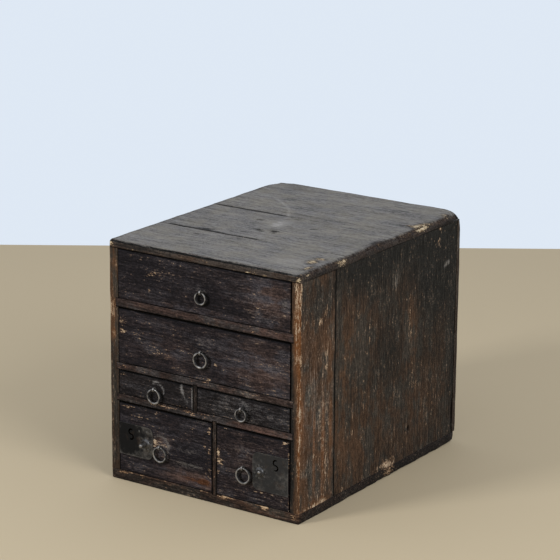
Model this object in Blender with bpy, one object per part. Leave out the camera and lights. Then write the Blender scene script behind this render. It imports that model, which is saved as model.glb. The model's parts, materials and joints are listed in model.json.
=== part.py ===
"""Small tansu: a six-drawer chest of edge-joined boards with iron ring pulls and two push-button locks.

Metres, +Z up. The origin is the middle of the underside and the drawers open towards -Y.
"""

import math

import bmesh
import bpy
from mathutils import Matrix, Vector

# Overall case
CASE_WIDTH = 0.348
CASE_DEPTH = 0.454
CASE_HEIGHT = 0.381

# Boards of the case
TOP_THICK = 0.012
BOTTOM_THICK = 0.016
SIDE_THICK = 0.0165
BACK_THICK = 0.011
UPPER_SHELF_THICK = 0.0135
MIDDLE_SHELF_THICK = 0.0115
LOWER_SHELF_THICK = 0.0115
DIVIDER_THICK = 0.0072
TOP_FRONT_PLANK = 0.126
TOP_MIDDLE_PLANK = 0.143
SIDE_FRONT_PLANK = 0.0925
SHELF_HOUSING = 0.004
DIVIDER_HOUSING = 0.003

# Drawer openings, counted down from the top; the bottom row takes the height that is left
TOP_OPENING = 0.078
SECOND_OPENING = 0.088
SMALL_OPENING = 0.0385
SMALL_DIVIDER_X = -0.0143
BOTTOM_DIVIDER_X = 0.0213

# Fits
JOINT_GAP = 0.0003
RUNNING_GAP = 0.0003
LEFT_GAP = 0.0005
RIGHT_GAP = 0.0015
REAR_GAP = 0.0008
TOP_GAP_WIDE = 0.0022
TOP_GAP_NARROW = 0.0011

# Drawer boards
FRONT_THICK = 0.018
FRONT_LIP = 0.007
DRAWER_SIDE_THICK = 0.007
DRAWER_BACK_THICK = 0.007
DRAWER_BOTTOM_THICK = 0.006
DRAWER_SIDE_INSET = 0.001
DRAWER_SIDE_DROP = 0.003
BACK_HOUSING = 0.003

# Ring pulls and the split staples that hold them
EYE_STANDOFF = 0.0046
EYE_HOLE_RADIUS = 0.0023
EYE_WALL = 0.0014
STAPLE_WIDTH = 0.0026
STAPLE_SHANK = 0.0032
CLENCH_LENGTH = 0.0065
CLENCH_THICK = 0.0014
THIN_WIRE_RADIUS = 0.0015
WIRE_RADIUS = 0.0016
THICK_WIRE_RADIUS = 0.0018
TOP_RING_RADIUS = 0.0092
SECOND_RING_RADIUS = 0.0115
SMALL_LEFT_RING_RADIUS = 0.0109
SMALL_RIGHT_RING_RADIUS = 0.0093
BOTTOM_LEFT_RING_RADIUS = 0.0114
BOTTOM_RIGHT_RING_RADIUS = 0.0117
BOTTOM_LEFT_RING_LEAN = 4
BOTTOM_RIGHT_RING_LEAN = 9

# Where each staple stands from the middle of its front
TOP_PULL_RISE = -0.0025
SECOND_PULL_RISE = 0.0015
SMALL_LEFT_PULL_RISE = 0.0018
SMALL_RIGHT_PULL_RISE = 0.0024
BOTTOM_PULL_RISE = -0.0015
SMALL_LEFT_PULL_SHIFT = 0.001
BOTTOM_LEFT_PULL_SHIFT = -0.007
BOTTOM_RIGHT_PULL_SHIFT = -0.015

# Push-button locks
PLATE_WIDTH = 0.063
LEFT_PLATE_HEIGHT = 0.051
RIGHT_PLATE_HEIGHT = 0.059
PLATE_THICK = 0.0012
PLATE_CORNER = 0.010
PLATE_DROP = 0.0015
BUTTON_INSET = 0.013
BUTTON_DROP = 0.001
BUTTON_RADIUS = 0.0033
BUTTON_NOSE = 0.0023
BUTTON_REACH = 0.016
BUTTON_TRAVEL = 0.0105
BUTTON_FLANGE_RADIUS = 0.0055
BUTTON_FLANGE_THICK = 0.0015
BOSS_RADIUS = 0.0075
BOSS_RIM_RADIUS = 0.0048
BOSS_HEIGHT = 0.003
KEY_SLOT_FROM_END = 0.022
LEFT_KEY_SLOT_RISE = 0.009
RIGHT_KEY_SLOT_RISE = 0.015
KEY_SLOT_BEND = 0.004
KEY_SLOT_WIDTH = 0.0026
KEY_SLOT_SWEEP = 210
POCKET_DEPTH = 0.0135
POCKET_MARGIN = 0.010

# Worn arrises
TOP_ARRIS = 0.003
TOP_FRONT_ARRIS = 0.006
TOP_REAR_LEFT_CORNER = 0.018
TOP_REAR_RIGHT_CORNER = 0.008
CASE_ARRIS = 0.003
FRONT_ARRIS = 0.001
CUTTER_MARGIN = 0.002

# Facets
ROUND_STEPS = 3
CIRCLE_STEPS = 20
RING_STEPS = 28
WIRE_SIDES = 10
SMOOTH_ANGLE = math.radians(40)

# Levels and faces that several boards share
FACE_Y = -CASE_DEPTH / 2
REAR_Y = CASE_DEPTH / 2
BACK_Y = REAR_Y - BACK_THICK
SIDE_X = CASE_WIDTH / 2
INNER_X = SIDE_X - SIDE_THICK
TOP_Z = CASE_HEIGHT - TOP_THICK
UPPER_SHELF_Z = TOP_Z - TOP_OPENING
UPPER_SHELF_UNDER = UPPER_SHELF_Z - UPPER_SHELF_THICK
MIDDLE_SHELF_Z = UPPER_SHELF_UNDER - SECOND_OPENING
MIDDLE_SHELF_UNDER = MIDDLE_SHELF_Z - MIDDLE_SHELF_THICK
LOWER_SHELF_Z = MIDDLE_SHELF_UNDER - SMALL_OPENING
LOWER_SHELF_UNDER = LOWER_SHELF_Z - LOWER_SHELF_THICK

DIRECTIONS = {
    "left": Vector((-1, 0, 0)),
    "right": Vector((1, 0, 0)),
    "front": Vector((0, -1, 0)),
    "rear": Vector((0, 1, 0)),
    "under": Vector((0, 0, -1)),
    "top": Vector((0, 0, 1)),
}


def clear_scene():
    for obj in list(bpy.data.objects):
        bpy.data.objects.remove(obj, do_unlink=True)


def finish(name, colour, roughness, metallic=0.0):
    """A Principled material with the piece's colour, roughness and metallic value."""
    material = bpy.data.materials.new(name)
    material.use_nodes = True
    shader = material.node_tree.nodes["Principled BSDF"]
    shader.inputs["Base Color"].default_value = (*colour, 1.0)
    shader.inputs["Roughness"].default_value = roughness
    shader.inputs["Metallic"].default_value = metallic
    material.diffuse_color = (*colour, 1.0)
    return material


def add_object(name, shape, material, parent=None, origin=(0.0, 0.0, 0.0), smooth=False):
    """An object from a shape built in world space, with its origin where it is asked for."""
    origin = Vector(origin)
    bmesh.ops.translate(shape, verts=shape.verts, vec=-origin)
    mesh = bpy.data.meshes.new(name)
    shape.to_mesh(mesh)
    shape.free()
    if smooth:
        mesh.shade_smooth()
        mesh.set_sharp_from_angle(angle=SMOOTH_ANGLE)
    if material:
        mesh.materials.append(material)
    obj = bpy.data.objects.new(name, mesh)
    bpy.context.scene.collection.objects.link(obj)
    obj.location = origin
    if parent:
        obj.parent = parent
        obj.location = origin - parent.location
    return obj


def add_empty(name, place):
    empty = bpy.data.objects.new(name, None)
    bpy.context.scene.collection.objects.link(empty)
    empty.location = place
    return empty


def combine(obj, name, shape, operation):
    """Adds a Boolean whose second shape stays in the scene as a wire helper."""
    helper = add_object(name, shape, None)
    helper.hide_render = True
    helper.display_type = "WIRE"
    modifier = obj.modifiers.new(name, "BOOLEAN")
    modifier.operation = operation
    modifier.solver = "EXACT"
    modifier.object = helper


def add_block(shape, low, high):
    """Adds a box between two corners to a shape."""
    low, high = Vector(low), Vector(high)
    made = bmesh.ops.create_cube(shape, size=1.0)
    bmesh.ops.scale(shape, verts=made["verts"], vec=high - low)
    bmesh.ops.translate(shape, verts=made["verts"], vec=(low + high) / 2)


def block(low, high):
    shape = bmesh.new()
    add_block(shape, low, high)
    return shape


def prism(outline, axis, start, end, holes=()):
    """A solid pushed along an axis from a flat outline, which holds the other two coordinates in order."""

    def lift(point):
        place = list(point)
        place.insert(axis, start)
        return place

    shape = bmesh.new()
    edges = []
    for loop in (outline, *holes):
        corners = [shape.verts.new(lift(point)) for point in loop]
        edges += [shape.edges.new((corners[i - 1], corners[i])) for i in range(len(corners))]
    if holes:
        bmesh.ops.triangle_fill(shape, use_beauty=True, edges=edges)
    else:
        shape.faces.new(corners)
    pushed = bmesh.ops.extrude_face_region(shape, geom=shape.faces[:])
    step = Vector((0.0, 0.0, 0.0))
    step[axis] = end - start
    moved = [item for item in pushed["geom"] if isinstance(item, bmesh.types.BMVert)]
    bmesh.ops.translate(shape, verts=moved, vec=step)
    bmesh.ops.recalc_face_normals(shape, faces=shape.faces[:])
    return shape


def turned(profile, centre):
    """A solid turned about a line along Y through a point, from (radius, y) points."""
    centre = Vector(centre)
    shape = bmesh.new()
    corners = [shape.verts.new(centre + Vector((radius, y, 0.0))) for radius, y in profile]
    edges = [shape.edges.new(pair) for pair in zip(corners, corners[1:])]
    if profile[0][0] > 0:
        edges.append(shape.edges.new((corners[-1], corners[0])))
    bmesh.ops.spin(
        shape,
        geom=corners + edges,
        cent=centre,
        axis=(0, 1, 0),
        angle=math.tau,
        steps=CIRCLE_STEPS,
        use_merge=True,
    )
    bmesh.ops.remove_doubles(shape, verts=shape.verts[:], dist=1e-6)
    bmesh.ops.recalc_face_normals(shape, faces=shape.faces[:])
    return shape


def arc(centre, radius, first, last, steps):
    """Points on a circle between two angles in degrees."""
    angles = (math.radians(first + (last - first) * i / steps) for i in range(steps + 1))
    return [(centre[0] + radius * math.cos(a), centre[1] + radius * math.sin(a)) for a in angles]


def circle(centre, radius):
    return arc(centre, radius, 0, 360, CIRCLE_STEPS)[:-1]


def round_arrises(shape, radius, *pairs, steps=ROUND_STEPS):
    """Rounds the edges where two named sides of a board meet."""
    wanted = [{first, second} for first, second in pairs]

    def side(face):
        return max(DIRECTIONS, key=lambda name: face.normal.dot(DIRECTIONS[name]))

    shape.normal_update()
    picked = [
        edge
        for edge in shape.edges
        if len(edge.link_faces) == 2 and {side(face) for face in edge.link_faces} in wanted
    ]
    bmesh.ops.bevel(
        shape,
        geom=picked,
        offset=radius,
        segments=steps,
        profile=0.5,
        affect="EDGES",
        material=-1,
    )


def make_top(wood):
    """Three planks, grain across, nailed down on the sides and the back."""
    seams = (FACE_Y, FACE_Y + TOP_FRONT_PLANK, FACE_Y + TOP_FRONT_PLANK + TOP_MIDDLE_PLANK, REAR_Y)
    ends = (("top", "left"), ("top", "right"))
    for i, name in enumerate(("top_front_board", "top_middle_board", "top_rear_board")):
        shape = block(
            (-SIDE_X, seams[i] + (JOINT_GAP if i else 0.0), TOP_Z),
            (SIDE_X, seams[i + 1], CASE_HEIGHT),
        )
        if name == "top_front_board":
            round_arrises(shape, TOP_FRONT_ARRIS, ("top", "front"))
            round_arrises(shape, TOP_ARRIS, *ends, ("left", "front"), ("right", "front"))
        elif name == "top_middle_board":
            round_arrises(shape, TOP_ARRIS, *ends)
        else:
            round_arrises(shape, TOP_REAR_LEFT_CORNER, ("left", "rear"), steps=2 * ROUND_STEPS)
            round_arrises(shape, TOP_REAR_RIGHT_CORNER, ("right", "rear"))
        add_object(name, shape, wood)


def make_bottom(wood):
    """One wide board under the sides, grooved for the lower divider."""
    half = DIVIDER_THICK / 2 + JOINT_GAP
    floor = BOTTOM_THICK - DIVIDER_HOUSING
    outline = [
        (-SIDE_X, 0.0),
        (SIDE_X, 0.0),
        (SIDE_X, BOTTOM_THICK),
        (BOTTOM_DIVIDER_X + half, BOTTOM_THICK),
        (BOTTOM_DIVIDER_X + half, floor),
        (BOTTOM_DIVIDER_X - half, floor),
        (BOTTOM_DIVIDER_X - half, BOTTOM_THICK),
        (-SIDE_X, BOTTOM_THICK),
    ]
    shape = prism(outline, 1, FACE_Y, REAR_Y)
    fronts = (("left", "front"), ("right", "front"))
    rears = (("left", "rear"), ("right", "rear"))
    round_arrises(shape, CASE_ARRIS, *fronts, *rears)
    add_object("bottom_board", shape, wood)


def side_outline():
    """Section of a right-hand side board with its three shelf grooves, as (x, z) points."""
    low = BOTTOM_THICK + JOINT_GAP
    high = TOP_Z - JOINT_GAP
    groove = INNER_X + SHELF_HOUSING + JOINT_GAP
    outline = [(SIDE_X, low), (SIDE_X, high), (INNER_X, high)]
    for upper, under in (
        (UPPER_SHELF_Z, UPPER_SHELF_UNDER),
        (MIDDLE_SHELF_Z, MIDDLE_SHELF_UNDER),
        (LOWER_SHELF_Z, LOWER_SHELF_UNDER),
    ):
        outline += [
            (INNER_X, upper + JOINT_GAP),
            (groove, upper + JOINT_GAP),
            (groove, under - JOINT_GAP),
            (INNER_X, under - JOINT_GAP),
        ]
    return outline + [(INNER_X, low)]


def make_sides(wood):
    """Each side is a narrow front plank and a wide rear plank, grain upright, grooved for the shelves."""
    seam = FACE_Y + SIDE_FRONT_PLANK
    for side, sign in (("left", -1), ("right", 1)):
        outline = [(sign * x, z) for x, z in side_outline()]
        front = prism(outline, 1, FACE_Y, seam)
        round_arrises(front, CASE_ARRIS, (side, "front"))
        add_object(f"{side}_side_front_board", front, wood)
        rear = prism(outline, 1, seam + JOINT_GAP, BACK_Y - JOINT_GAP)
        add_object(f"{side}_side_rear_board", rear, wood)


def make_back(wood):
    """The back is nailed on behind the sides, between the top and the bottom."""
    shape = block(
        (-SIDE_X, BACK_Y, BOTTOM_THICK + JOINT_GAP),
        (SIDE_X, REAR_Y, TOP_Z - JOINT_GAP),
    )
    round_arrises(shape, CASE_ARRIS, ("left", "rear"), ("right", "rear"))
    add_object("back_board", shape, wood)


def shelf_outline(under, upper, divider_above=None, divider_below=None):
    """Section of a shelf with grooves for the dividers that stand on it or hang under it."""
    reach = INNER_X + SHELF_HOUSING
    half = DIVIDER_THICK / 2 + JOINT_GAP
    outline = [(-reach, under)]
    if divider_below is not None:
        outline += [
            (divider_below - half, under),
            (divider_below - half, under + DIVIDER_HOUSING),
            (divider_below + half, under + DIVIDER_HOUSING),
            (divider_below + half, under),
        ]
    outline += [(reach, under), (reach, upper)]
    if divider_above is not None:
        outline += [
            (divider_above + half, upper),
            (divider_above + half, upper - DIVIDER_HOUSING),
            (divider_above - half, upper - DIVIDER_HOUSING),
            (divider_above - half, upper),
        ]
    return outline + [(-reach, upper)]


def make_shelves(wood):
    """Full-depth shelves housed in the sides, and two dividers housed in what lies above and below them."""
    shelves = {
        "upper_shelf": shelf_outline(UPPER_SHELF_UNDER, UPPER_SHELF_Z),
        "middle_shelf": shelf_outline(MIDDLE_SHELF_UNDER, MIDDLE_SHELF_Z, divider_below=SMALL_DIVIDER_X),
        "lower_shelf": shelf_outline(LOWER_SHELF_UNDER, LOWER_SHELF_Z, SMALL_DIVIDER_X, BOTTOM_DIVIDER_X),
    }
    for name, outline in shelves.items():
        add_object(name, prism(outline, 1, FACE_Y, BACK_Y - JOINT_GAP), wood)
    reach = DIVIDER_HOUSING - JOINT_GAP
    dividers = {
        "small_drawer_divider": (SMALL_DIVIDER_X, LOWER_SHELF_Z, MIDDLE_SHELF_UNDER),
        "bottom_drawer_divider": (BOTTOM_DIVIDER_X, BOTTOM_THICK, LOWER_SHELF_UNDER),
    }
    for name, (x, floor, ceiling) in dividers.items():
        shape = block(
            (x - DIVIDER_THICK / 2, FACE_Y, floor - reach),
            (x + DIVIDER_THICK / 2, BACK_Y - JOINT_GAP, ceiling + reach),
        )
        add_object(name, shape, wood)


class Drawer:
    """A drawer front's place in its opening, and the empty that its pieces hang on."""

    def __init__(self, name, left, right, floor, ceiling, top_gap):
        self.name = name
        self.left = left + LEFT_GAP
        self.right = right - RIGHT_GAP
        self.under = floor + RUNNING_GAP
        self.upper = ceiling - top_gap
        self.middle_x = (self.left + self.right) / 2
        self.middle_z = (self.under + self.upper) / 2
        self.rear = BACK_Y - REAR_GAP
        self.inside_y = FACE_Y + FRONT_THICK
        self.empty = add_empty(name, (self.middle_x, FACE_Y, self.under))

    def add(self, piece, shape, material, origin=None, smooth=False):
        place = self.empty.location if origin is None else origin
        return add_object(f"{self.name}_{piece}", shape, material, self.empty, place, smooth)


def make_box(drawer, front_wood, inner_wood, staple, lock_pocket=None):
    """Front with rabbeted ends and foot, two sides, a back housed in them, and a bottom nailed on below."""
    rabbet = DRAWER_SIDE_INSET + DRAWER_SIDE_THICK + JOINT_GAP
    lip_y = FACE_Y + FRONT_LIP
    front = prism(
        [
            (drawer.left, FACE_Y),
            (drawer.right, FACE_Y),
            (drawer.right, lip_y),
            (drawer.right - rabbet, lip_y),
            (drawer.right - rabbet, drawer.inside_y),
            (drawer.left + rabbet, drawer.inside_y),
            (drawer.left + rabbet, lip_y),
            (drawer.left, lip_y),
        ],
        2,
        drawer.under,
        drawer.upper,
    )
    arrises = [("front", edge) for edge in ("left", "right", "top", "under")]
    round_arrises(front, FRONT_ARRIS, *arrises)
    panel = drawer.add("front", front, front_wood)

    cuts = bmesh.new()
    shelf = drawer.under + DRAWER_BOTTOM_THICK + JOINT_GAP
    add_block(
        cuts,
        (drawer.left - CUTTER_MARGIN, lip_y, drawer.under - CUTTER_MARGIN),
        (drawer.right + CUTTER_MARGIN, drawer.inside_y + CUTTER_MARGIN, shelf),
    )
    hole = Vector((STAPLE_WIDTH / 2 + JOINT_GAP, 0.0, STAPLE_SHANK / 2 + JOINT_GAP))
    add_block(
        cuts,
        Vector((staple[0], FACE_Y - CUTTER_MARGIN, staple[1])) - hole,
        Vector((staple[0], drawer.inside_y + CUTTER_MARGIN, staple[1])) + hole,
    )
    if lock_pocket:
        add_block(cuts, *lock_pocket)
    combine(panel, f"{drawer.name}_front_cuts", cuts, "DIFFERENCE")

    top = drawer.upper - DRAWER_SIDE_DROP
    foot = drawer.under + DRAWER_BOTTOM_THICK + JOINT_GAP
    back_y = drawer.rear - DRAWER_BACK_THICK - JOINT_GAP
    outer = {"left": drawer.left + DRAWER_SIDE_INSET, "right": drawer.right - DRAWER_SIDE_INSET}
    for side, inward in (("left", 1), ("right", -1)):
        x = outer[side]
        inner = x + inward * DRAWER_SIDE_THICK
        housed = inner - inward * BACK_HOUSING
        outline = [
            (x, lip_y + JOINT_GAP),
            (inner, lip_y + JOINT_GAP),
            (inner, back_y),
            (housed, back_y),
            (housed, drawer.rear),
            (x, drawer.rear),
        ]
        drawer.add(f"{side}_side", prism(outline, 2, foot, top), inner_wood)

    reach = DRAWER_SIDE_THICK - BACK_HOUSING + JOINT_GAP
    back = block(
        (outer["left"] + reach, back_y + JOINT_GAP, foot),
        (outer["right"] - reach, drawer.rear, top),
    )
    drawer.add("back", back, inner_wood)
    bottom = block(
        (outer["left"], lip_y + JOINT_GAP, drawer.under),
        (outer["right"], drawer.rear, drawer.under + DRAWER_BOTTOM_THICK),
    )
    drawer.add("bottom", bottom, inner_wood)


def make_pull(drawer, iron, staple, ring_radius, wire_radius, lean):
    """A forged split staple, clenched inside the front, and the ring that swings in its eye."""
    eye_y = FACE_Y - EYE_STANDOFF
    x, z = staple
    shank = STAPLE_SHANK / 2
    eye_radius = EYE_HOLE_RADIUS + EYE_WALL
    neck = math.degrees(math.asin(shank / eye_radius))
    clench_y = drawer.inside_y + JOINT_GAP
    reach = shank + CLENCH_LENGTH
    outline = arc((eye_y, z), eye_radius, neck, 360 - neck, CIRCLE_STEPS) + [
        (clench_y, z - shank),
        (clench_y, z - reach),
        (clench_y + CLENCH_THICK, z - reach),
        (clench_y + CLENCH_THICK, z + reach),
        (clench_y, z + reach),
        (clench_y, z + shank),
    ]
    shape = prism(
        outline, 0, x - STAPLE_WIDTH / 2, x + STAPLE_WIDTH / 2, holes=[circle((eye_y, z), EYE_HOLE_RADIUS)]
    )
    drawer.add("staple", shape, iron)

    pivot = Vector((x, eye_y, z))
    ring = bmesh.new()
    wire = bmesh.ops.create_circle(ring, segments=WIRE_SIDES, radius=wire_radius)
    bmesh.ops.rotate(ring, verts=wire["verts"], matrix=Matrix.Rotation(math.radians(90), 3, "Y"))
    bmesh.ops.spin(
        ring,
        geom=ring.verts[:] + ring.edges[:],
        cent=(0.0, 0.0, -ring_radius),
        axis=(0, 1, 0),
        angle=math.tau,
        steps=RING_STEPS,
        use_merge=True,
    )
    bmesh.ops.recalc_face_normals(ring, faces=ring.faces[:])
    bmesh.ops.rotate(ring, verts=ring.verts, matrix=Matrix.Rotation(math.radians(-lean), 3, "Y"))
    bmesh.ops.translate(ring, verts=ring.verts, vec=pivot)
    drawer.add("ring", ring, iron, origin=pivot, smooth=True)


def key_slot(centre):
    """An S-shaped slot as one closed outline: two half circles stroked to the slot's width."""
    x, z = centre
    half = KEY_SLOT_WIDTH / 2
    bend = KEY_SLOT_BEND
    steps = CIRCLE_STEPS // 2
    upper, lower = (x, z + bend), (x, z - bend)
    tip, tail = 270 - KEY_SLOT_SWEEP, 90 - KEY_SLOT_SWEEP
    one_side = arc(upper, bend + half, tip, 270, steps)[:-1] + arc(lower, bend - half, 90, tail, steps)
    other_side = arc(lower, bend + half, tail, 90, steps)[:-1] + arc(upper, bend - half, 270, tip, steps)
    return one_side + other_side


def make_lock(drawer, iron, side, plate_height, slot_rise, rest_reach):
    """Iron plate with its key slot and boss, and the button that slides through the boss."""
    outward = {"left": -1, "right": 1}[side]
    end = {"left": drawer.left, "right": drawer.right}[side] - outward * FRONT_ARRIS
    centre_z = drawer.middle_z - PLATE_DROP
    inner = end - outward * PLATE_WIDTH
    button_x = inner + outward * BUTTON_INSET
    button_z = centre_z - BUTTON_DROP
    low, high = centre_z - plate_height / 2, centre_z + plate_height / 2
    turn = inner + outward * PLATE_CORNER
    corner_steps = 2 * ROUND_STEPS
    if side == "right":
        low_corner, high_corner = (270, 180), (180, 90)
    else:
        low_corner, high_corner = (-90, 0), (0, 90)
    outline = (
        [(end, high), (end, low)]
        + arc((turn, low + PLATE_CORNER), PLATE_CORNER, *low_corner, corner_steps)
        + arc((turn, high - PLATE_CORNER), PLATE_CORNER, *high_corner, corner_steps)
    )
    bore = BUTTON_RADIUS + JOINT_GAP
    back_y = FACE_Y - JOINT_GAP
    slot_x = end - outward * KEY_SLOT_FROM_END
    holes = [
        circle((button_x, button_z), (bore + BOSS_RADIUS) / 2),
        key_slot((slot_x, centre_z + slot_rise)),
    ]
    plate = drawer.add("lock_plate", prism(outline, 1, back_y - PLATE_THICK, back_y, holes), iron)

    face_y = back_y - PLATE_THICK
    root_y = back_y - PLATE_THICK / 4
    swell = BOSS_RADIUS - BOSS_RIM_RADIUS
    quarter = [math.radians(90 * i / ROUND_STEPS) for i in range(ROUND_STEPS + 1)]
    dome = [(BOSS_RADIUS, root_y)]
    dome += [(BOSS_RIM_RADIUS + swell * math.cos(a), face_y - BOSS_HEIGHT * math.sin(a)) for a in quarter]
    dome += [(bore, face_y - BOSS_HEIGHT), (bore, root_y)]
    combine(plate, f"{drawer.name}_lock_boss", turned(dome, (button_x, 0.0, button_z)), "UNION")

    tip = FACE_Y - rest_reach
    flange = tip + BUTTON_REACH + JOINT_GAP
    nose = [(BUTTON_RADIUS * math.sin(a), tip + BUTTON_NOSE * (1 - math.cos(a))) for a in quarter]
    profile = nose + [
        (BUTTON_RADIUS, flange),
        (BUTTON_FLANGE_RADIUS, flange),
        (BUTTON_FLANGE_RADIUS, flange + BUTTON_FLANGE_THICK),
        (0.0, flange + BUTTON_FLANGE_THICK),
    ]
    place = Vector((button_x, FACE_Y, button_z))
    button = turned(profile, (button_x, 0.0, button_z))
    drawer.add("lock_button", button, iron, origin=place, smooth=True)


def lock_pocket(drawer, side, slot_rise):
    """Corners of the recess behind a lock plate, from the key slot to the button."""
    outward = {"left": -1, "right": 1}[side]
    end = {"left": drawer.left, "right": drawer.right}[side] - outward * FRONT_ARRIS
    near = end - outward * (KEY_SLOT_FROM_END - POCKET_MARGIN)
    far = end - outward * (PLATE_WIDTH - BUTTON_INSET + POCKET_MARGIN)
    centre_z = drawer.middle_z - PLATE_DROP
    return (
        (min(near, far), FACE_Y - CUTTER_MARGIN, centre_z - BUTTON_DROP - POCKET_MARGIN),
        (max(near, far), FACE_Y + POCKET_DEPTH, centre_z + slot_rise + POCKET_MARGIN),
    )


def main():
    clear_scene()
    case_wood = finish("stained_case_wood", (0.040, 0.031, 0.025), roughness=0.62)
    front_wood = finish("stained_drawer_wood", (0.034, 0.027, 0.023), roughness=0.58)
    inner_wood = finish("bare_drawer_wood", (0.21, 0.135, 0.075), roughness=0.75)
    iron = finish("forged_iron", (0.060, 0.057, 0.055), roughness=0.55, metallic=0.8)

    make_top(case_wood)
    make_bottom(case_wood)
    make_sides(case_wood)
    make_back(case_wood)
    make_shelves(case_wood)

    half = DIVIDER_THICK / 2
    small = (LOWER_SHELF_Z, MIDDLE_SHELF_UNDER, TOP_GAP_NARROW)
    bottom = (BOTTOM_THICK, LOWER_SHELF_UNDER, TOP_GAP_WIDE)
    openings = {
        "top_drawer": (-INNER_X, INNER_X, UPPER_SHELF_Z, TOP_Z, TOP_GAP_NARROW),
        "second_drawer": (-INNER_X, INNER_X, MIDDLE_SHELF_Z, UPPER_SHELF_UNDER, TOP_GAP_WIDE),
        "small_left_drawer": (-INNER_X, SMALL_DIVIDER_X - half, *small),
        "small_right_drawer": (SMALL_DIVIDER_X + half, INNER_X, *small),
        "bottom_left_drawer": (-INNER_X, BOTTOM_DIVIDER_X - half, *bottom),
        "bottom_right_drawer": (BOTTOM_DIVIDER_X + half, INNER_X, *bottom),
    }
    # Shift and rise of each staple from the middle of its front
    staples = {
        "top_drawer": (0, TOP_PULL_RISE),
        "second_drawer": (0, SECOND_PULL_RISE),
        "small_left_drawer": (SMALL_LEFT_PULL_SHIFT, SMALL_LEFT_PULL_RISE),
        "small_right_drawer": (0, SMALL_RIGHT_PULL_RISE),
        "bottom_left_drawer": (BOTTOM_LEFT_PULL_SHIFT, BOTTOM_PULL_RISE),
        "bottom_right_drawer": (BOTTOM_RIGHT_PULL_SHIFT, BOTTOM_PULL_RISE),
    }
    # Each ring's radius to the middle of its wire, the wire's radius and the ring's lean
    rings = {
        "top_drawer": (TOP_RING_RADIUS, THIN_WIRE_RADIUS, 0),
        "second_drawer": (SECOND_RING_RADIUS, THICK_WIRE_RADIUS, 0),
        "small_left_drawer": (SMALL_LEFT_RING_RADIUS, WIRE_RADIUS, 0),
        "small_right_drawer": (SMALL_RIGHT_RING_RADIUS, THIN_WIRE_RADIUS, 0),
        "bottom_left_drawer": (BOTTOM_LEFT_RING_RADIUS, WIRE_RADIUS, BOTTOM_LEFT_RING_LEAN),
        "bottom_right_drawer": (BOTTOM_RIGHT_RING_RADIUS, WIRE_RADIUS, BOTTOM_RIGHT_RING_LEAN),
    }
    # Outer end of the drawer, plate height, rise of the key slot and how far the button stands out at rest
    locks = {
        "bottom_left_drawer": ("left", LEFT_PLATE_HEIGHT, LEFT_KEY_SLOT_RISE, BUTTON_REACH),
        "bottom_right_drawer": (
            "right", RIGHT_PLATE_HEIGHT, RIGHT_KEY_SLOT_RISE, BUTTON_REACH - BUTTON_TRAVEL
        ),
    }
    for name, opening in openings.items():
        drawer = Drawer(name, *opening)
        shift, rise = staples[name]
        staple = (drawer.middle_x + shift, drawer.middle_z + rise)
        pocket = None
        if name in locks:
            side, plate_height, slot_rise, rest_reach = locks[name]
            make_lock(drawer, iron, side, plate_height, slot_rise, rest_reach)
            pocket = lock_pocket(drawer, side, slot_rise)
        make_box(drawer, front_wood, inner_wood, staple, pocket)
        make_pull(drawer, iron, staple, *rings[name])


main()
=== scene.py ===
"""A small worn tansu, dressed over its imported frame: stained boards, bare drawer boxes and forged iron."""

import itertools
import json
import math

import bmesh
import bpy
from mathutils import Matrix, Vector, noise


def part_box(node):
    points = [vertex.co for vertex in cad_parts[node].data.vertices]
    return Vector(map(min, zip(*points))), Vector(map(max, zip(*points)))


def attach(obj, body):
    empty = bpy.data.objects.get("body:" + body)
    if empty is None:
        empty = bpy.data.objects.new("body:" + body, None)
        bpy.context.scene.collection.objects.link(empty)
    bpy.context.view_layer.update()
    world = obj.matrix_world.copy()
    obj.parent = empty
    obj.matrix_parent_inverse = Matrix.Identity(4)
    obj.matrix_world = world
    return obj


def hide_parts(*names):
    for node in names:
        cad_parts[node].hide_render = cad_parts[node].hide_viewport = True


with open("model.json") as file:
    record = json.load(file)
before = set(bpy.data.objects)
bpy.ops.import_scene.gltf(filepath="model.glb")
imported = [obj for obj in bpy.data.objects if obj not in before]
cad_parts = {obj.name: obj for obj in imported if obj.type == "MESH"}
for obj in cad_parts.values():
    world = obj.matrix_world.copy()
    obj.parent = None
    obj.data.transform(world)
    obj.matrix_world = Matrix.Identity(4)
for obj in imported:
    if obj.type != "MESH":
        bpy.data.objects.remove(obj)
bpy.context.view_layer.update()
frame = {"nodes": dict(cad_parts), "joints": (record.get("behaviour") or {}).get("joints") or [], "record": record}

# Camera
# A long lens in front of the chest's right front corner, looking down a little on its top.
# Its place, turn and lens were fitted to the corners of the case.
VIEW_AZIMUTH = math.radians(34.14)
VIEW_ELEVATION = math.radians(16.02)
VIEW_ROLL = math.radians(0.43)
VIEW_PLACE = (2.003, -2.978, 1.323)
VIEW_LENS_MM = 155.1
SENSOR_MM = 36


def put(name, data):
    """A new object in the scene."""
    made = bpy.data.objects.new(name, data)
    bpy.context.scene.collection.objects.link(made)
    return made


view_lens = bpy.data.cameras.new("camera")
view_lens.lens = VIEW_LENS_MM
view_lens.sensor_width = SENSOR_MM
camera = put("camera", view_lens)
camera.matrix_world = (
    Matrix.Translation(VIEW_PLACE)
    @ Matrix.Rotation(VIEW_AZIMUTH, 4, "Z")
    @ Matrix.Rotation(math.pi / 2 - VIEW_ELEVATION, 4, "X")
    @ Matrix.Rotation(VIEW_ROLL, 4, "Z")
)
bpy.context.scene.camera = camera

# Room
# A plain pale floor in front of a pale wall, which is only the colour of the surroundings.
# Soft light comes from a large lamp at the upper left, a larger one at the right and from all round.
FLOOR_COLOUR = (0.54, 0.45, 0.305, 1)
WALL_COLOUR = (0.735, 0.81, 0.907, 1)
SKY_COLOUR = (0.95, 0.97, 1.0, 1)
SKY_STRENGTH = 0.52
FLOOR_BEHIND = 1.27
FLOOR_REACH = 8.0
AIM = Vector((0, 0, 0.19))
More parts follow.
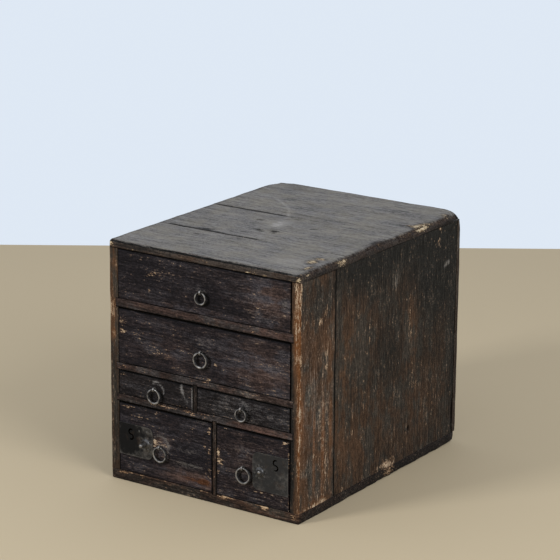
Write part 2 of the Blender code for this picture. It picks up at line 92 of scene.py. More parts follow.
# Each lamp's place, width in metres and power in watts
LAMPS = {
    "window": (Vector((-1.3, -2.9, 2.15)), 0.8, 54),
    "far_window": (Vector((3.0, -0.9, 2.2)), 1.8, 60),
}


def add(tree, kind, inputs=None, **settings):
    """A shader node with its settings and inputs; an input is a value or another node's output."""
    made = tree.nodes.new("ShaderNode" + kind)
    for setting, value in settings.items():
        setattr(made, setting, value)
    for socket, value in (inputs or {}).items():
        if isinstance(value, bpy.types.NodeSocket):
            tree.links.new(value, made.inputs[socket])
        else:
            made.inputs[socket].default_value = value
    return made


def work(tree, operation, *values):
    """The result of a maths node."""
    return add(tree, "Math", dict(enumerate(values)), operation=operation).outputs[0]


def new_material(name):
    """An empty material's node tree with its output node."""
    material = bpy.data.materials.new(name)
    material.use_nodes = True
    material.node_tree.nodes.clear()
    return material, material.node_tree, material.node_tree.nodes.new("ShaderNodeOutputMaterial")


floor_shape = bmesh.new()
bmesh.ops.create_grid(floor_shape, x_segments=1, y_segments=1, size=FLOOR_REACH)
bmesh.ops.translate(floor_shape, verts=floor_shape.verts, vec=(0, FLOOR_BEHIND - FLOOR_REACH, 0))
bmesh.ops.rotate(floor_shape, verts=floor_shape.verts, matrix=Matrix.Rotation(VIEW_AZIMUTH, 3, "Z"))
floor_mesh = bpy.data.meshes.new("floor")
floor_shape.to_mesh(floor_mesh)
floor_shape.free()
floor_paint, floor_tree, floor_output = new_material("pale_floor")
floor_shader = add(floor_tree, "BsdfPrincipled", {"Base Color": FLOOR_COLOUR, "Roughness": 0.8})
floor_tree.links.new(floor_shader.outputs[0], floor_output.inputs[0])
floor_mesh.materials.append(floor_paint)
floor = put("floor", floor_mesh)

world = bpy.data.worlds.new("room")
world.use_nodes = True
sky = world.node_tree
sky.nodes.clear()
ray = add(sky, "LightPath")
seen = work(sky, "MAXIMUM", ray.outputs["Is Camera Ray"], ray.outputs["Is Glossy Ray"])
seen = work(sky, "MAXIMUM", seen, ray.outputs["Is Transmission Ray"])
light = add(sky, "Background", {"Color": SKY_COLOUR, "Strength": SKY_STRENGTH})
wall = add(sky, "Background", {"Color": WALL_COLOUR, "Strength": 1.0})
either = add(sky, "MixShader", {0: seen, 1: light.outputs[0], 2: wall.outputs[0]})
sky_output = sky.nodes.new("ShaderNodeOutputWorld")
sky.links.new(either.outputs[0], sky_output.inputs[0])
bpy.context.scene.world = world

for lamp_name, (lamp_place, lamp_size, lamp_watts) in LAMPS.items():
    lamp_data = bpy.data.lights.new(lamp_name, "AREA")
    lamp_data.size = lamp_size
    lamp_data.energy = lamp_watts
    lamp = put(lamp_name, lamp_data)
    lamp.location = lamp_place
    lamp.rotation_mode = "QUATERNION"
    lamp.rotation_quaternion = (AIM - lamp_place).to_track_quat("-Z", "Y")
bpy.context.scene.view_settings.view_transform = "Standard"

# Bottom board
# One wide softwood board under the sides, grain from left to right, stained nearly black.
# Its front edge is rubbed, and its right-hand end grain is soft and crumbled at the rear.
MM = 0.001
# The outer faces of the case
LEFT_X, FRONT_Y, FOOT_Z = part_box("bottom_board")[0]
RIGHT_X, REAR_Y, TOP_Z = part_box("top_rear_board")[1]
# The axis that each side of a board lies across, with its direction, and the two axes along that side
SIDES = {
    "left": (0, -1),
    "right": (0, 1),
    "front": (1, -1),
    "rear": (1, 1),
    "under": (2, -1),
    "top": (2, 1),
}
FACE_AXES = {side: [other for other in range(3) if other != axis] for side, (axis, _) in SIDES.items()}
CHANNELS = ("bare", "warm", "film")
EDGE_STEPS = (0.0006, 0.0013, 0.0022, 0.0035, 0.0055, 0.009)
HIDDEN_CELL = 0.02
BOARD_CELL = 0.004
# How far past its rounding a rubbed arris is bared, and a darkened one (painted shade and grime) reaches
RUB_WIDTH = 0.0045
SHADE_AND_GRIME_WIDTH = 0.0008
FINISH_DEPTH = 0.0021
STAIN_RUN = 0.025
# Painted shade inside gaps and joints: how far below a shown side it starts, and how much it darkens
JOINT_DEPTH = 0.0008
RECESS_SHADE = 0.6
HOLLOWS = 0.0005
MERGE = 1e-6
FLAT = math.radians(0.5)
CREASE = math.radians(40)
WEAR_SEED = 7
# What breaks up arrises, rubbing and hollows: the noise's size in metres and its seed
ARRIS_SWAY = (0.03, 3.1)
ARRIS_CHIPS = (0.009, 7.7)
RUB_PATCHES = (0.016, 5.3)
HOLLOW_PATCHES = (0.03, 1.7)
SWAY_SHARE = 0.45
CHIP_SHARE = 0.5
HOLLOW_SHARE = 0.5
# How far a rubbed arris is bared, how much that varies, how it warms and how fast it loses its dust
RUB_BARE = 0.75
RUB_VARIES = 0.9
RUB_WARMTH = 0.6
DUST_LOSS = 4
ARRIS_SPAN = 4
GOUGE_LINES = (-1, -0.6, -0.25, 0.25, 0.6, 1)
BITE_LENGTH = 0.004
BITE_SPREAD = 0.010
BITE_STEP_SPREAD = 0.006
MARK_END = 6
MARK_RAGGED = 0.35
MARK_FRAY = 0.012
BODY_OF = {node: body for body, nodes in frame["record"]["behaviour"]["bodies"].items() for node in nodes}


def wander(place, size, seed):
    """Smooth noise from about -1 to 1 that changes over the given length."""
    return noise.noise(place / size + Vector((seed, -seed, 2 * seed)))


def depth_under(place, side, low, high):
    """How far a point lies under one side of a board's box."""
    axis, sign = SIDES[side]
    return high[axis] - place[axis] if sign > 0 else place[axis] - low[axis]


def mesh_lines(low, high, cell):
    """Places for mesh lines across a board: close together at both ends and even between them."""
    near = [step for step in EDGE_STEPS if step < (high - low) / 3]
    start, stop = low + near[-1], high - near[-1]
    count = max(1, round((stop - start) / cell))
    even = [start + (stop - start) * i / count for i in range(1, count)]
    return [low + step for step in near] + even + [high - step for step in near]


def cut_lines(shape, axis, places, faces=None):
    """Cuts a shape, or only some faces of it, along planes square to an axis."""
    direction = Vector((0, 0, 0))
    direction[axis] = 1
    cut = shape.verts[:] + shape.edges[:] + shape.faces[:]
    if faces is not None:
        edges = dict.fromkeys(edge for face in faces for edge in face.edges)
        corners = dict.fromkeys(corner for face in faces for corner in face.verts)
        cut = [*corners, *edges, *faces]
    for place in places:
        done = bmesh.ops.bisect_plane(
            shape, geom=cut, dist=MERGE, plane_co=direction * place, plane_no=direction
        )
        cut = done["geom"]


def copy_of(node):
    """A merged copy of a node's own mesh, to be worn and detailed."""
    shape = bmesh.new()
    shape.from_mesh(frame["nodes"][node].data)
    bmesh.ops.remove_doubles(shape, verts=shape.verts[:], dist=MERGE)
    bmesh.ops.dissolve_limit(shape, angle_limit=FLAT, verts=shape.verts[:], edges=shape.edges[:])
    return shape


def round_over(place, low, high, first, second, reach, bites):
    """Moves a point near an arris on to a rounded and uneven one."""
    sway = SWAY_SHARE * wander(place, *ARRIS_SWAY)
    chip = CHIP_SHARE * max(0.0, wander(place, *ARRIS_CHIPS))
    grow = 1 + sway + chip
    for centre, half_length, extra in bites:
        away = (place - Vector(centre)).length / half_length
        if away < 1:
            grow += extra * (1 - away * away)
    radius = reach * grow
    ends = [1 - depth_under(place, side, low, high) / radius for side in (first, second)]
    if min(ends) <= 0:
        return place
    length = math.hypot(*ends)
    if length <= 1:
        return place
    moved = place.copy()
    for side, end in zip((first, second), ends):
        axis, sign = SIDES[side]
        moved[axis] -= sign * radius * (end - end / length)
    return moved


def broken_places(start, stop, deepest):
    """Small bites along an arris from one point to another, each of its own length and depth."""
    start, stop = Vector(start), Vector(stop)
    places = []
    gone = 0.0
    while gone < (stop - start).length:
        chance = noise.random()
        here = start + (stop - start).normalized() * gone
        places.append((here, BITE_LENGTH + BITE_SPREAD * chance, deepest * noise.random()))
        gone += BITE_LENGTH + BITE_STEP_SPREAD * chance
    return places


noise.seed_set(WEAR_SEED)


def mark_weight(place, side, mark):
    """How strongly a mark on one side of the chest tells at a point.

    A mark is its two places along that side, half its width and half its height, all in millimetres, and
    its amount in hundredths. Places from front to rear are counted from the front of the case.
    """
    across, up, half_width, half_height, amount = mark
    first, second = FACE_AXES[side]
    here = place[first] - (FRONT_Y if first == 1 else 0)
    there = place[second] - (FRONT_Y if second == 1 else 0)
    reach = ((here / MM - across) / half_width) ** 2 + ((there / MM - up) / half_height) ** 2
    if reach > MARK_END:
        return 0.0
    return amount / 100 * math.exp(-reach * (1 + MARK_RAGGED * wander(place, MARK_FRAY, across)))


def shown_faces(shape, shown, low, high):
    """The faces that lie on the shown sides of a board."""
    faces = []
    for face in shape.faces:
        middle = face.calc_center_median()
        if any(depth_under(middle, side, low, high) < FINISH_DEPTH for side in shown):
            faces.append(face)
    return faces


def fine_board(node, shown, cell, gouges):
    """A merged copy of a board, cut into small faces on its shown sides and smaller ones at its gouges."""
    shape = copy_of(node)
    low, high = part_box(node)
    for axis in range(3):
        cut_lines(shape, axis, mesh_lines(low[axis], high[axis], HIDDEN_CELL))
    for axis in range(3):
        lines = mesh_lines(low[axis], high[axis], cell)
        for centre, radii, _ in gouges:
            lines += [centre[axis] + radii[axis] * step for step in GOUGE_LINES]
        inside = sorted(line for line in lines if low[axis] < line < high[axis])
        cut_lines(shape, axis, inside, shown_faces(shape, shown, low, high))
    return shape


def worn_board(
    node, material, plank, shown, base, arrises,
    marks=None, bites=(), gouges=(), cell=BOARD_CELL, rub_width=RUB_WIDTH,
):
    """A board shown in a node's place: rounded and chipped arrises, hollows and values for its finish.

    The finish holds how bare, warm and dusty each point is; away from the shown sides the wood is raw.
    An arris has its reach in metres and how far it is rubbed; below 0 it is darkened instead, which paints
    shade into the gaps between parts and along the foot, and stands for grime along seams and edges. A bite
    has its place, half its length and how much it deepens the arris. A gouge has its place, half its size
    along each axis and its depth.
    """
    edges = [(*edge.split(), *wear) for edge, wear in arrises.items()]
    spots = [(*spot.split(), places) for spot, places in (marks or {}).items()]
    shape = fine_board(node, shown, cell, gouges)
    low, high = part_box(node)
    finish = shape.verts.layers.float_vector.new("finish")
    raw = shape.verts.layers.float.new("raw")
    plank_number = shape.verts.layers.float.new("plank")
    shape.normal_update()
    for vertex in shape.verts:
        place = vertex.co.copy()
        moved = place.copy()
        depth = {side: depth_under(place, side, low, high) for side in SIDES}
        outer = min(depth[side] for side in shown)
        tint = dict(zip(CHANNELS, base))
        for first, second, reach, rubbed in edges:
            inward = max(depth[first], depth[second])
            if inward > ARRIS_SPAN * reach + RUB_WIDTH:
                continue
            moved = round_over(moved, low, high, first, second, reach, bites)
            width = reach + (rub_width if rubbed > 0 else SHADE_AND_GRIME_WIDTH)
            near = max(0, 1 - inward / width)
            tint["bare"] += rubbed * near * (RUB_BARE + RUB_VARIES * wander(place, *RUB_PATCHES))
            tint["warm"] += RUB_WARMTH * rubbed * near
            tint["film"] *= 1 - near * min(1, DUST_LOSS * abs(rubbed))
        for side, channel, places in spots:
            if depth[side] < FINISH_DEPTH:
                tint[channel] += sum(mark_weight(place, side, mark) for mark in places)
        # Painted shade: points inside gaps and joints, below the shown sides, are darkened.
        if outer > JOINT_DEPTH:
            tint["bare"] -= RECESS_SHADE
            tint["warm"] -= RECESS_SHADE
        if outer < FINISH_DEPTH:
            moved -= vertex.normal * HOLLOWS * max(0, HOLLOW_SHARE + wander(place, *HOLLOW_PATCHES))
        for centre, radii, sink in gouges:
            gap = place - Vector(centre)
            away = sum((gap[axis] / radii[axis]) ** 2 for axis in range(3))
            if away < 1:
                moved -= vertex.normal * sink * (1 - away) ** 2
        vertex[finish] = tuple(tint.values())
        vertex[raw] = min(1.0, max(0.0, (outer - FINISH_DEPTH) / STAIN_RUN))
        vertex[plank_number] = plank
        vertex.co = moved
    stand_in(node, shape, material)


def stand_in(node, shape, material):
    """Makes a shape the piece that is shown for a node, on the node's body and in its material slot."""
    mesh = bpy.data.meshes.new(node + "_worn")
    shape.to_mesh(mesh)
    shape.free()
    mesh.shade_smooth()
    mesh.set_sharp_from_angle(angle=CREASE)
    mesh.materials.append(material)
    piece = put(mesh.name, mesh)
    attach(piece, BODY_OF[node])
    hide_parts(node)


def new_group(name, inputs, outputs):
    """A shader node group with named inputs and outputs."""
    tree = bpy.data.node_groups.new(name, "ShaderNodeTree")
    kinds = {float: "NodeSocketFloat", tuple: "NodeSocketColor", Vector: "NodeSocketVector"}
    for label, value in inputs.items():
        socket = tree.interface.new_socket(label, in_out="INPUT", socket_type=kinds[type(value)])
        socket.default_value = value
    for label, kind in outputs.items():
        tree.interface.new_socket(label, in_out="OUTPUT", socket_type=kinds[kind])
    return tree, tree.nodes.new("NodeGroupInput").outputs, tree.nodes.new("NodeGroupOutput").inputs


def mixed(tree, factor, first, second, blend_type="MIX"):
    """Two colours mixed by a factor."""
    made = add(tree, "Mix", {0: factor, 6: first, 7: second}, data_type="RGBA", blend_type=blend_type)
    return made.outputs[2]


def ramped(tree, value, low, high, to_low=0.0, to_high=1.0):
    """A value carried smoothly from one range to another, and held at its ends."""
    inputs = {0: value, 1: low, 2: high, 3: to_low, 4: to_high}
    return add(tree, "MapRange", inputs, interpolation_type="SMOOTHSTEP").outputs[0]


def centred(tree, value, strength):
    """A noise value counted from its middle and weighed."""
    return work(tree, "MULTIPLY", work(tree, "SUBTRACT", value, 0.5), strength)


def total(tree, first, *others):
    """The sum of several values."""
    for other in others:
        first = work(tree, "ADD", first, other)
    return first


# Cycles for each metre along and across the grain, then the noise's detail and roughness
GRAIN_LAYERS = {
    "Figure": (7.0, 40.0, 4.0, 0.6),
    "Streak": (22.0, 310.0, 4.0, 0.6),
    "Fleck": (130.0, 480.0, 3.0, 0.6),
    "Grit": (430.0, 620.0, 2.0, 0.6),
    "Blotch": (24.0, 30.0, 5.0, 0.65),
}
PLANK_SHIFT = (3.17, 1.73, 2.39)
RING_SPACING = 0.005
RING_STRETCH = (0.06, 1, 1)
# A wave texture that runs on the diagonal turns by this many radians in each unit of length
WAVE_TURN = 10
SCRATCH_TURN = (0.35, 0.5, 0.9)
SCRATCH_STRETCH = (7.0, 900.0, 900.0)

wood_grain, grain_in, grain_out = new_group(
    "wood_grain",
    {"Place": Vector((0, 0, 0)), "Plank": 0.0},
    {name: float for name in (*GRAIN_LAYERS, "Ring", "Scratch")},
)


def placed(operation, first, second):
    """The result of a vector maths node in the grain."""
    inputs = {0: first, "Scale" if operation == "SCALE" else 1: second}
    return add(wood_grain, "VectorMath", inputs, operation=operation).outputs[0]


def stretched_noise(place, stretch, detail, roughness):
    """Noise that is drawn out along the grain."""
    drawn_out = placed("MULTIPLY", place, stretch)
    settings = {"Vector": drawn_out, "Scale": 1.0, "Detail": detail, "Roughness": roughness}
    return add(wood_grain, "TexNoise", settings).outputs[0]


plank_place = placed("ADD", grain_in["Place"], placed("SCALE", PLANK_SHIFT, grain_in["Plank"]))
for layer, (along, across, detail, roughness) in GRAIN_LAYERS.items():
    layer_noise = stretched_noise(plank_place, (along, across, across), detail, roughness)
    wood_grain.links.new(layer_noise, grain_out[layer])
ring_inputs = {
    "Vector": placed("MULTIPLY", plank_place, RING_STRETCH),
    "Scale": math.tau / (WAVE_TURN * RING_SPACING),
    "Distortion": 7.0,
    "Detail": 3.0,
    "Detail Scale": 0.25,
}
ring_wave = add(wood_grain, "TexWave", ring_inputs, bands_direction="DIAGONAL")
wood_grain.links.new(ring_wave.outputs["Fac"], grain_out["Ring"])
scratch_place = add(wood_grain, "Mapping", {"Vector": plank_place, "Rotation": SCRATCH_TURN})
scratch_noise = stretched_noise(scratch_place.outputs[0], SCRATCH_STRETCH, 1.0, 0.5)
wood_grain.links.new(ramped(wood_grain, scratch_noise, 0.70, 0.80), grain_out["Scratch"])

coat, coat_in, coat_out = new_group(
    "worn_stain",
    {
        **dict.fromkeys((*GRAIN_LAYERS, "Ring"), 0.5),
        "Scratch": 0.0,
        "Finish": Vector((0, 0, 0)),
        "Raw": 0.0,
        "Depth": 1.0,
        "Stain": (0.0105, 0.0085, 0.008, 1),
        "Thin stain": (0.095, 0.050, 0.028, 1),
        "Grey stain": (0.058, 0.046, 0.039, 1),
        "Red wood": (0.15, 0.060, 0.021, 1),
        "Bare wood": (0.25, 0.115, 0.045, 1),
        "Pale wood": (0.64, 0.45, 0.265, 1),
        "Dust": (0.200, 0.194, 0.193, 1),
        "Warm dust": (0.206, 0.193, 0.171, 1),
        "Smear": (0.30, 0.29, 0.28, 1),
        "Raw wood": (0.16, 0.098, 0.056, 1),
    },
    {"Colour": tuple, "Roughness": float, "Height": float},
)
finish_parts = add(coat, "SeparateXYZ", {0: coat_in["Finish"]})
bare_here, warm_here, film_here = finish_parts.outputs


def with_noise(value, **strengths):
    """A value with grain layers weighed in round it."""
    layers = [centred(coat, coat_in[name.capitalize()], weight) for name, weight in strengths.items()]
    return total(coat, value, *layers)


greyness = ramped(coat, with_noise(0.5, figure=1.4, blotch=1.4), 0.35, 0.65)
thin = mixed(coat, greyness, coat_in["Thin stain"], coat_in["Grey stain"])
warm_sum = with_noise(warm_here, blotch=1.0, figure=0.7, streak=0.45, fleck=0.6)
stained = mixed(coat, ramped(coat, warm_sum, 0.0, 1.0), coat_in["Stain"], thin)
stained = mixed(coat, ramped(coat, warm_sum, 0.95, 1.6), stained, coat_in["Red wood"])
ridge = with_noise(0.5, streak=0.8, ring=0.06, fleck=0.8, grit=1.0)
# A negative bare value darkens the stain: painted shade in gaps, painted ring shadows, and grime.
shade_and_grime = ramped(coat, bare_here, -0.6, -0.1, to_low=0.15)
relief_shade = ramped(coat, ridge, 0.28, 0.72, to_low=-0.45, to_high=0.45)
relief_shade = work(coat, "MULTIPLY", relief_shade, coat_in["Depth"])
shade = work(coat, "MULTIPLY", work(coat, "ADD", relief_shade, 1.0), shade_and_grime)
stained = mixed(coat, 1.0, stained, shade, "MULTIPLY")
bare_sum = with_noise(bare_here, fleck=2.5, grit=1.3, streak=1.2, blotch=0.8)
bareness = ramped(coat, bare_sum, 0.56, 0.70)
paleness = ramped(coat, bare_sum, 0.62, 1.10)
rubbed_wood = mixed(coat, paleness, coat_in["Bare wood"], coat_in["Pale wood"])
coloured = mixed(coat, bareness, stained, rubbed_wood)
scored = work(coat, "MULTIPLY", coat_in["Scratch"], 0.35)
coloured = mixed(coat, scored, coloured, coat_in["Bare wood"])
film_sum = with_noise(film_here, blotch=0.8, fleck=0.9, grit=0.9, streak=1.0)
dust = mixed(coat, ramped(coat, coat_in["Blotch"], 0.35, 0.65), coat_in["Dust"], coat_in["Warm dust"])
dust = mixed(coat, ramped(coat, film_sum, 1.1, 1.9), dust, coat_in["Smear"])
dust_grain = with_noise(0.5, streak=1.0, figure=0.9, fleck=0.5)
dust_shade = ramped(coat, dust_grain, 0.25, 0.75, to_low=0.89, to_high=1.11)
dust = mixed(coat, 1.0, dust, dust_shade, "MULTIPLY")
coloured = mixed(coat, ramped(coat, film_sum, 0.1, 1.1), coloured, dust)
raw_shade = ramped(coat, with_noise(ridge, figure=0.8), 0.3, 0.7, to_low=0.55, to_high=1.35)
raw_wood = mixed(coat, 1.0, coat_in["Raw wood"], raw_shade, "MULTIPLY")
coloured = mixed(coat, coat_in["Raw"], coloured, raw_wood)
coat.links.new(coloured, coat_out["Colour"])
rough = ramped(coat, ridge, 0.3, 0.7, to_low=0.75, to_high=0.5)
rough = total(coat, rough, work(coat, "MULTIPLY", bareness, 0.12), centred(coat, coat_in["Grit"], 0.3))
coat.links.new(rough, coat_out["Roughness"])
hollowed = work(coat, "MULTIPLY", bareness, -0.3)
height = total(coat, ridge, hollowed, work(coat, "MULTIPLY", coat_in["Fleck"], 0.3))
coat.links.new(height, coat_out["Height"])

WOOD_GLOSS = 0.09


def shaded(output, look, colours, relief, settings):
    """Ends a material with its own colours and a shader fed by a group's colour, roughness and height."""
    tree = output.id_data
    for label, colour in colours.items():
        look.inputs[label.replace("_", " ").capitalize()].default_value = (*colour, 1)
    strength, distance = relief
    height = look.outputs["Height"]
    bumps = add(tree, "Bump", {"Height": height, "Strength": strength, "Distance": distance})
    inputs = {
        "Base Color": look.outputs["Colour"],
        "Roughness": look.outputs["Roughness"],
        "Normal": bumps.outputs[0],
        **settings,
    }
    tree.links.new(add(tree, "BsdfPrincipled", inputs).outputs[0], output.inputs[0])


def stained_wood(name, turn=(0, 0, 0), crossing=1.0, bump=0.0009, depth=1.0, **colours):
    """A stained wood whose grain runs along X once it is turned; crossing shortens its figure."""
    material, tree, output = new_material(name)
    place = add(tree, "TexCoord").outputs["Object"]
    turned = add(tree, "Mapping", {"Vector": place, "Rotation": turn, "Scale": (crossing, 1, 1)})
    plank = add(tree, "Attribute", attribute_name="plank").outputs["Fac"]
    grain = add(tree, "Group", {"Place": turned.outputs[0], "Plank": plank}, node_tree=wood_grain)
    inputs = {layer.name: layer for layer in grain.outputs}
    inputs["Finish"] = add(tree, "Attribute", attribute_name="finish").outputs["Vector"]
    inputs["Raw"] = add(tree, "Attribute", attribute_name="raw").outputs["Fac"]
    inputs["Depth"] = depth
    stain = add(tree, "Group", inputs, node_tree=coat)
    shaded(output, stain, colours, (1.0, bump), {"Specular IOR Level": WOOD_GLOSS})
    return material


base_wood = stained_wood(
    "stained_base_wood", thin_stain=(0.106, 0.058, 0.037), grey_stain=(0.059, 0.047, 0.038),
    bare_wood=(0.22, 0.115, 0.055), pale_wood=(0.62, 0.46, 0.30),
)
worn_board(
    "bottom_board", base_wood, plank=1, shown=("left", "right", "front", "rear"), base=(0.02, 0.27, 0.0),
    arrises={
        # The under arrises at the front and right are darkened: painted contact shadow along the foot.
        "front left": (0.003, 0.25), "front right": (0.005, 0.3), "front under": (0.0014, -0.5),
        "front top": (0.0012, 0.4), "right under": (0.0018, -0.4), "right rear": (0.003, 0.0),
        "rear under": (0.006, 0.0), "right top": (0.0015, 0.1), "left under": (0.003, 0.0),
        "left rear": (0.005, 0.0),
    },
    marks={
        "front bare": [
            (-150, 13, 9, 3, 35), (-116, 13, 7, 3, 50), (-60, 4, 12, 3, 20), (39, 13, 10, 3, 60),
            (111, 15, 10, 5, 85), (80, 5, 14, 3, 20), (165, 12, 5, 7, 50),
        ],
        "front warm": [(110, 9, 60, 12, 30)],
        "right warm": [(300, 8, 160, 20, -20)],
        "right bare": [(250, 10, 18, 9, 60), (20, 9, 14, 8, -20)],
    },
    bites=[((RIGHT_X, REAR_Y, FOOT_Z), 0.05, 2.4)]
    + broken_places((RIGHT_X, -0.1, FOOT_Z), (RIGHT_X, 0.2, FOOT_Z), 1.4),
)

# Sides
# A narrow and a wide upright board each, edge to edge, grooved for the shelves, on the bottom board.
# The front arrises are rubbed down to orange and cream wood, most of all on the right.
UPRIGHT = (0, math.pi / 2, 0)
side_wood = stained_wood(
    "stained_side_wood", turn=UPRIGHT, crossing=2.2, bump=0.0007, depth=0.75,
    stain=(0.0125, 0.0118, 0.0105), thin_stain=(0.092, 0.048, 0.026), grey_stain=(0.045, 0.037, 0.030),
    bare_wood=(0.23, 0.128, 0.068), pale_wood=(0.64, 0.51, 0.37),
)
SIDE_SEAM = (0.0011, -1.6)
SIDE_SEAM_Y = -0.1343
SEAM_BITES = [((RIGHT_X, SIDE_SEAM_Y, up), 0.035, 1.3) for up in (0.345, 0.215, 0.055)]

worn_board(
    "left_side_front_board", side_wood, plank=2, shown=("left", "front"), base=(0.05, 0.40, 0.0),
    arrises={"front left": (0.0012, 0.3), "front right": (0.001, 0.1), "left rear": SIDE_SEAM},
    marks={
        "front bare": [
            (-161, 347, 3, 9, 60), (-168, 272, 7, 20, 70), (-166, 234, 5, 7, 55), (-168, 303, 4, 10, 30),
            (-171, 100, 3, 60, 20),
        ],
        "front warm": [
            (-166, 330, 10, 45, 40), (-166, 270, 8, 30, 90), (-166, 233, 7, 12, 90), (-163, 347, 5, 12, 60),
            (-166, 90, 10, 35, -10), (-166, 150, 10, 40, 10),
        ],
    },
    bites=[((LEFT_X, FRONT_Y, 0.291), 0.007, 2.2)],
)
worn_board(
    "left_side_rear_board", side_wood, plank=3, shown=("left",), base=(0.02, 0.42, 0.0),
    arrises={"left front": SIDE_SEAM, "left rear": (0.0015, 0.1)},
)
worn_board(
    "right_side_front_board", side_wood, plank=4, shown=("right", "front"), base=(0.13, 0.82, 0.0),
    # The inner front arris, beside the drawers, is darkened with painted shade from the gap.
    arrises={"front right": (0.003, 0.25), "front left": (0.0015, -0.9), "right rear": SIDE_SEAM},
    marks={
        "front bare": [
            (167, 360, 4, 14, 75), (167, 318, 4, 22, 55), (167, 288, 4, 16, 30), (168, 253, 4, 8, 60),
            (167, 340, 4, 14, 30), (170, 215, 3, 20, 30), (170, 150, 3, 40, 20), (170, 95, 3, 30, 25),
            (171, 40, 3, 20, 15),
        ],
        "front warm": [
            (168, 300, 9, 70, 100), (173, 130, 4, 100, 90), (166, 90, 8, 80, -15), (160, 110, 4, 120, -100),
            (159.5, 300, 3, 70, -50),
        ],
        "right bare": [
            (2, 360, 3, 16, 30), (2, 250, 3, 15, 40), (2, 140, 3, 90, 30), (16, 306, 3, 4, 50),
            (36, 302, 6, 3, 40), (52, 300, 5, 6, 70), (66, 308, 3, 7, 60), (67, 283, 3, 7, 50),
            (71, 250, 4, 8, 50), (70, 226, 4, 6, 70), (50, 250, 3, 22, 35), (60, 200, 12, 80, 15),
            (55, 120, 8, 80, 25), (40, 99, 6, 7, 60), (71, 90, 5, 60, 30), (62, 18, 12, 5, 80),
            (38, 18, 10, 4, 75), (18, 18, 9, 3, 50), (70, 350, 20, 20, -15),
        ],
        "right warm": [
            (6, 160, 8, 70, 60), (62, 110, 6, 100, 65), (38, 110, 5, 90, 55), (82, 120, 6, 110, 45),
            (26, 60, 8, 60, -30), (50, 230, 6, 60, -25), (22, 250, 9, 60, -20), (50, 335, 45, 36, -45),
            (90, 345, 14, 40, -35), (40, 15, 40, 12, 50),
        ],
        "right film": [(38, 170, 60, 150, 28)],
    },
    bites=SEAM_BITES,
)
worn_board(
    "right_side_rear_board", side_wood, plank=5, shown=("right",), base=(0.06, 0.41, 0.0),
    arrises={"right front": SIDE_SEAM, "right rear": (0.0017, -1.4)},
    bites=[((RIGHT_X, 0.2157, 0.048), 0.040, 3.5)] + SEAM_BITES,
    marks={
        "right bare": [
            (157, 287, 3, 8, 55), (183, 259, 4, 5, 50), (191, 257, 4, 6, 50), (188, 238, 6, 6, 50),
            (178, 221, 4, 5, 70), (119, 227, 5, 5, 40), (148, 222, 4, 3, 40), (172, 126, 4, 28, 35),
            (175, 157, 7, 3, 40), (228, 126, 9, 5, 30), (143, 103, 4, 5, 50), (164, 85, 5, 3, 40),
            (117, 20, 4, 6, 70), (244, 22, 20, 8, 75), (255, 10, 10, 8, 80), (210, 22, 10, 5, 40),
            (289, 41, 4, 5, 60), (303, 236, 5, 24, 30), (308, 208, 4, 14, 35), (312, 150, 8, 24, 25),
            (323, 131, 12, 6, 45), (390, 366, 4, 4, 70), (386, 348, 4, 8, 40), (335, 154, 3, 6, 40),
            (366, 105, 4, 4, 40), (378, 75, 5, 24, 30), (358, 60, 3, 30, 25), (292, 278, 9, 4, 40),
            (306, 63, 2.6, 4.5, -140), (301, 57, 2, 3, 60), (304, 255, 3, 26, 30), (440, 42, 3, 30, -80),
        ],
        "right warm": [
            (155, 245, 40, 60, 35), (200, 115, 90, 50, 15), (150, 60, 60, 45, 20), (309, 225, 18, 50, 50),
            (330, 80, 50, 50, 15), (390, 320, 70, 80, -65), (230, 358, 150, 24, -45),
            (190, 325, 60, 40, -20), (240, 200, 40, 50, -20), (440, 160, 12, 160, -30),
            (108, 170, 22, 130, 25),
        ],
        "right film": [
            (408, 303, 4, 3, 90), (417, 306, 5, 3, 110), (262, 310, 9, 12, 30), (306, 56, 7, 3, 35),
            (350, 300, 20, 20, 10),
        ],
    },
    gouges=[((RIGHT_X, 0.079, 0.063), (0.006, 0.003, 0.005), 0.008)],
)

# Back
# One board with upright grain, nailed on behind the sides, left unfinished and grey-brown with age.
# Its upper corners are knocked off together with those of the top.
back_wood = stained_wood(
    "weathered_back_wood", turn=UPRIGHT, stain=(0.05, 0.036, 0.027), thin_stain=(0.13, 0.085, 0.055),
)
# Grime along both edges of the back: its strength in each channel, then its place and half sizes
BACK_GRIME = {"warm": -50, "bare": -30}
BACK_EDGE = (446, 190, 16, 300)
WORN_CORNERS = [((RIGHT_X, REAR_Y, TOP_Z), 0.028, 5.0), ((LEFT_X, REAR_Y, TOP_Z), 0.028, 4.0)]
PLAIN_CELL = 0.007
worn_board(
    "back_board", back_wood, plank=6, shown=("rear", "left", "right"), base=(-0.05, 0.45, 0.15),
    arrises={"rear left": (0.002, 0.1), "rear right": (0.0014, 0.05)},
    bites=WORN_CORNERS, cell=PLAIN_CELL,
    marks={
        f"{side} {channel}": [(*BACK_EDGE, amount)]
        for side in ("left", "right") for channel, amount in BACK_GRIME.items()
    },
)

# Shelves and dividers
# Full-depth shelves are housed in the sides, and their front edges are the rails between the drawers.
# Two upright dividers are housed in the shelves and the bottom.
rail_wood = stained_wood(
    "stained_rail_wood", thin_stain=(0.098, 0.058, 0.048), grey_stain=(0.060, 0.052, 0.052),
    bare_wood=(0.22, 0.118, 0.062), pale_wood=(0.62, 0.47, 0.32),
)
# Both front arrises are darkened: painted shade in the gaps above and below the drawers.
RAIL_ARRISES = {"front top": (0.001, -0.1), "front under": (0.0012, -1.0)}


def on_front(channels):
    """Marks by channel, all of them on the front of a board."""
    return {"front " + channel: places for channel, places in channels.items()}


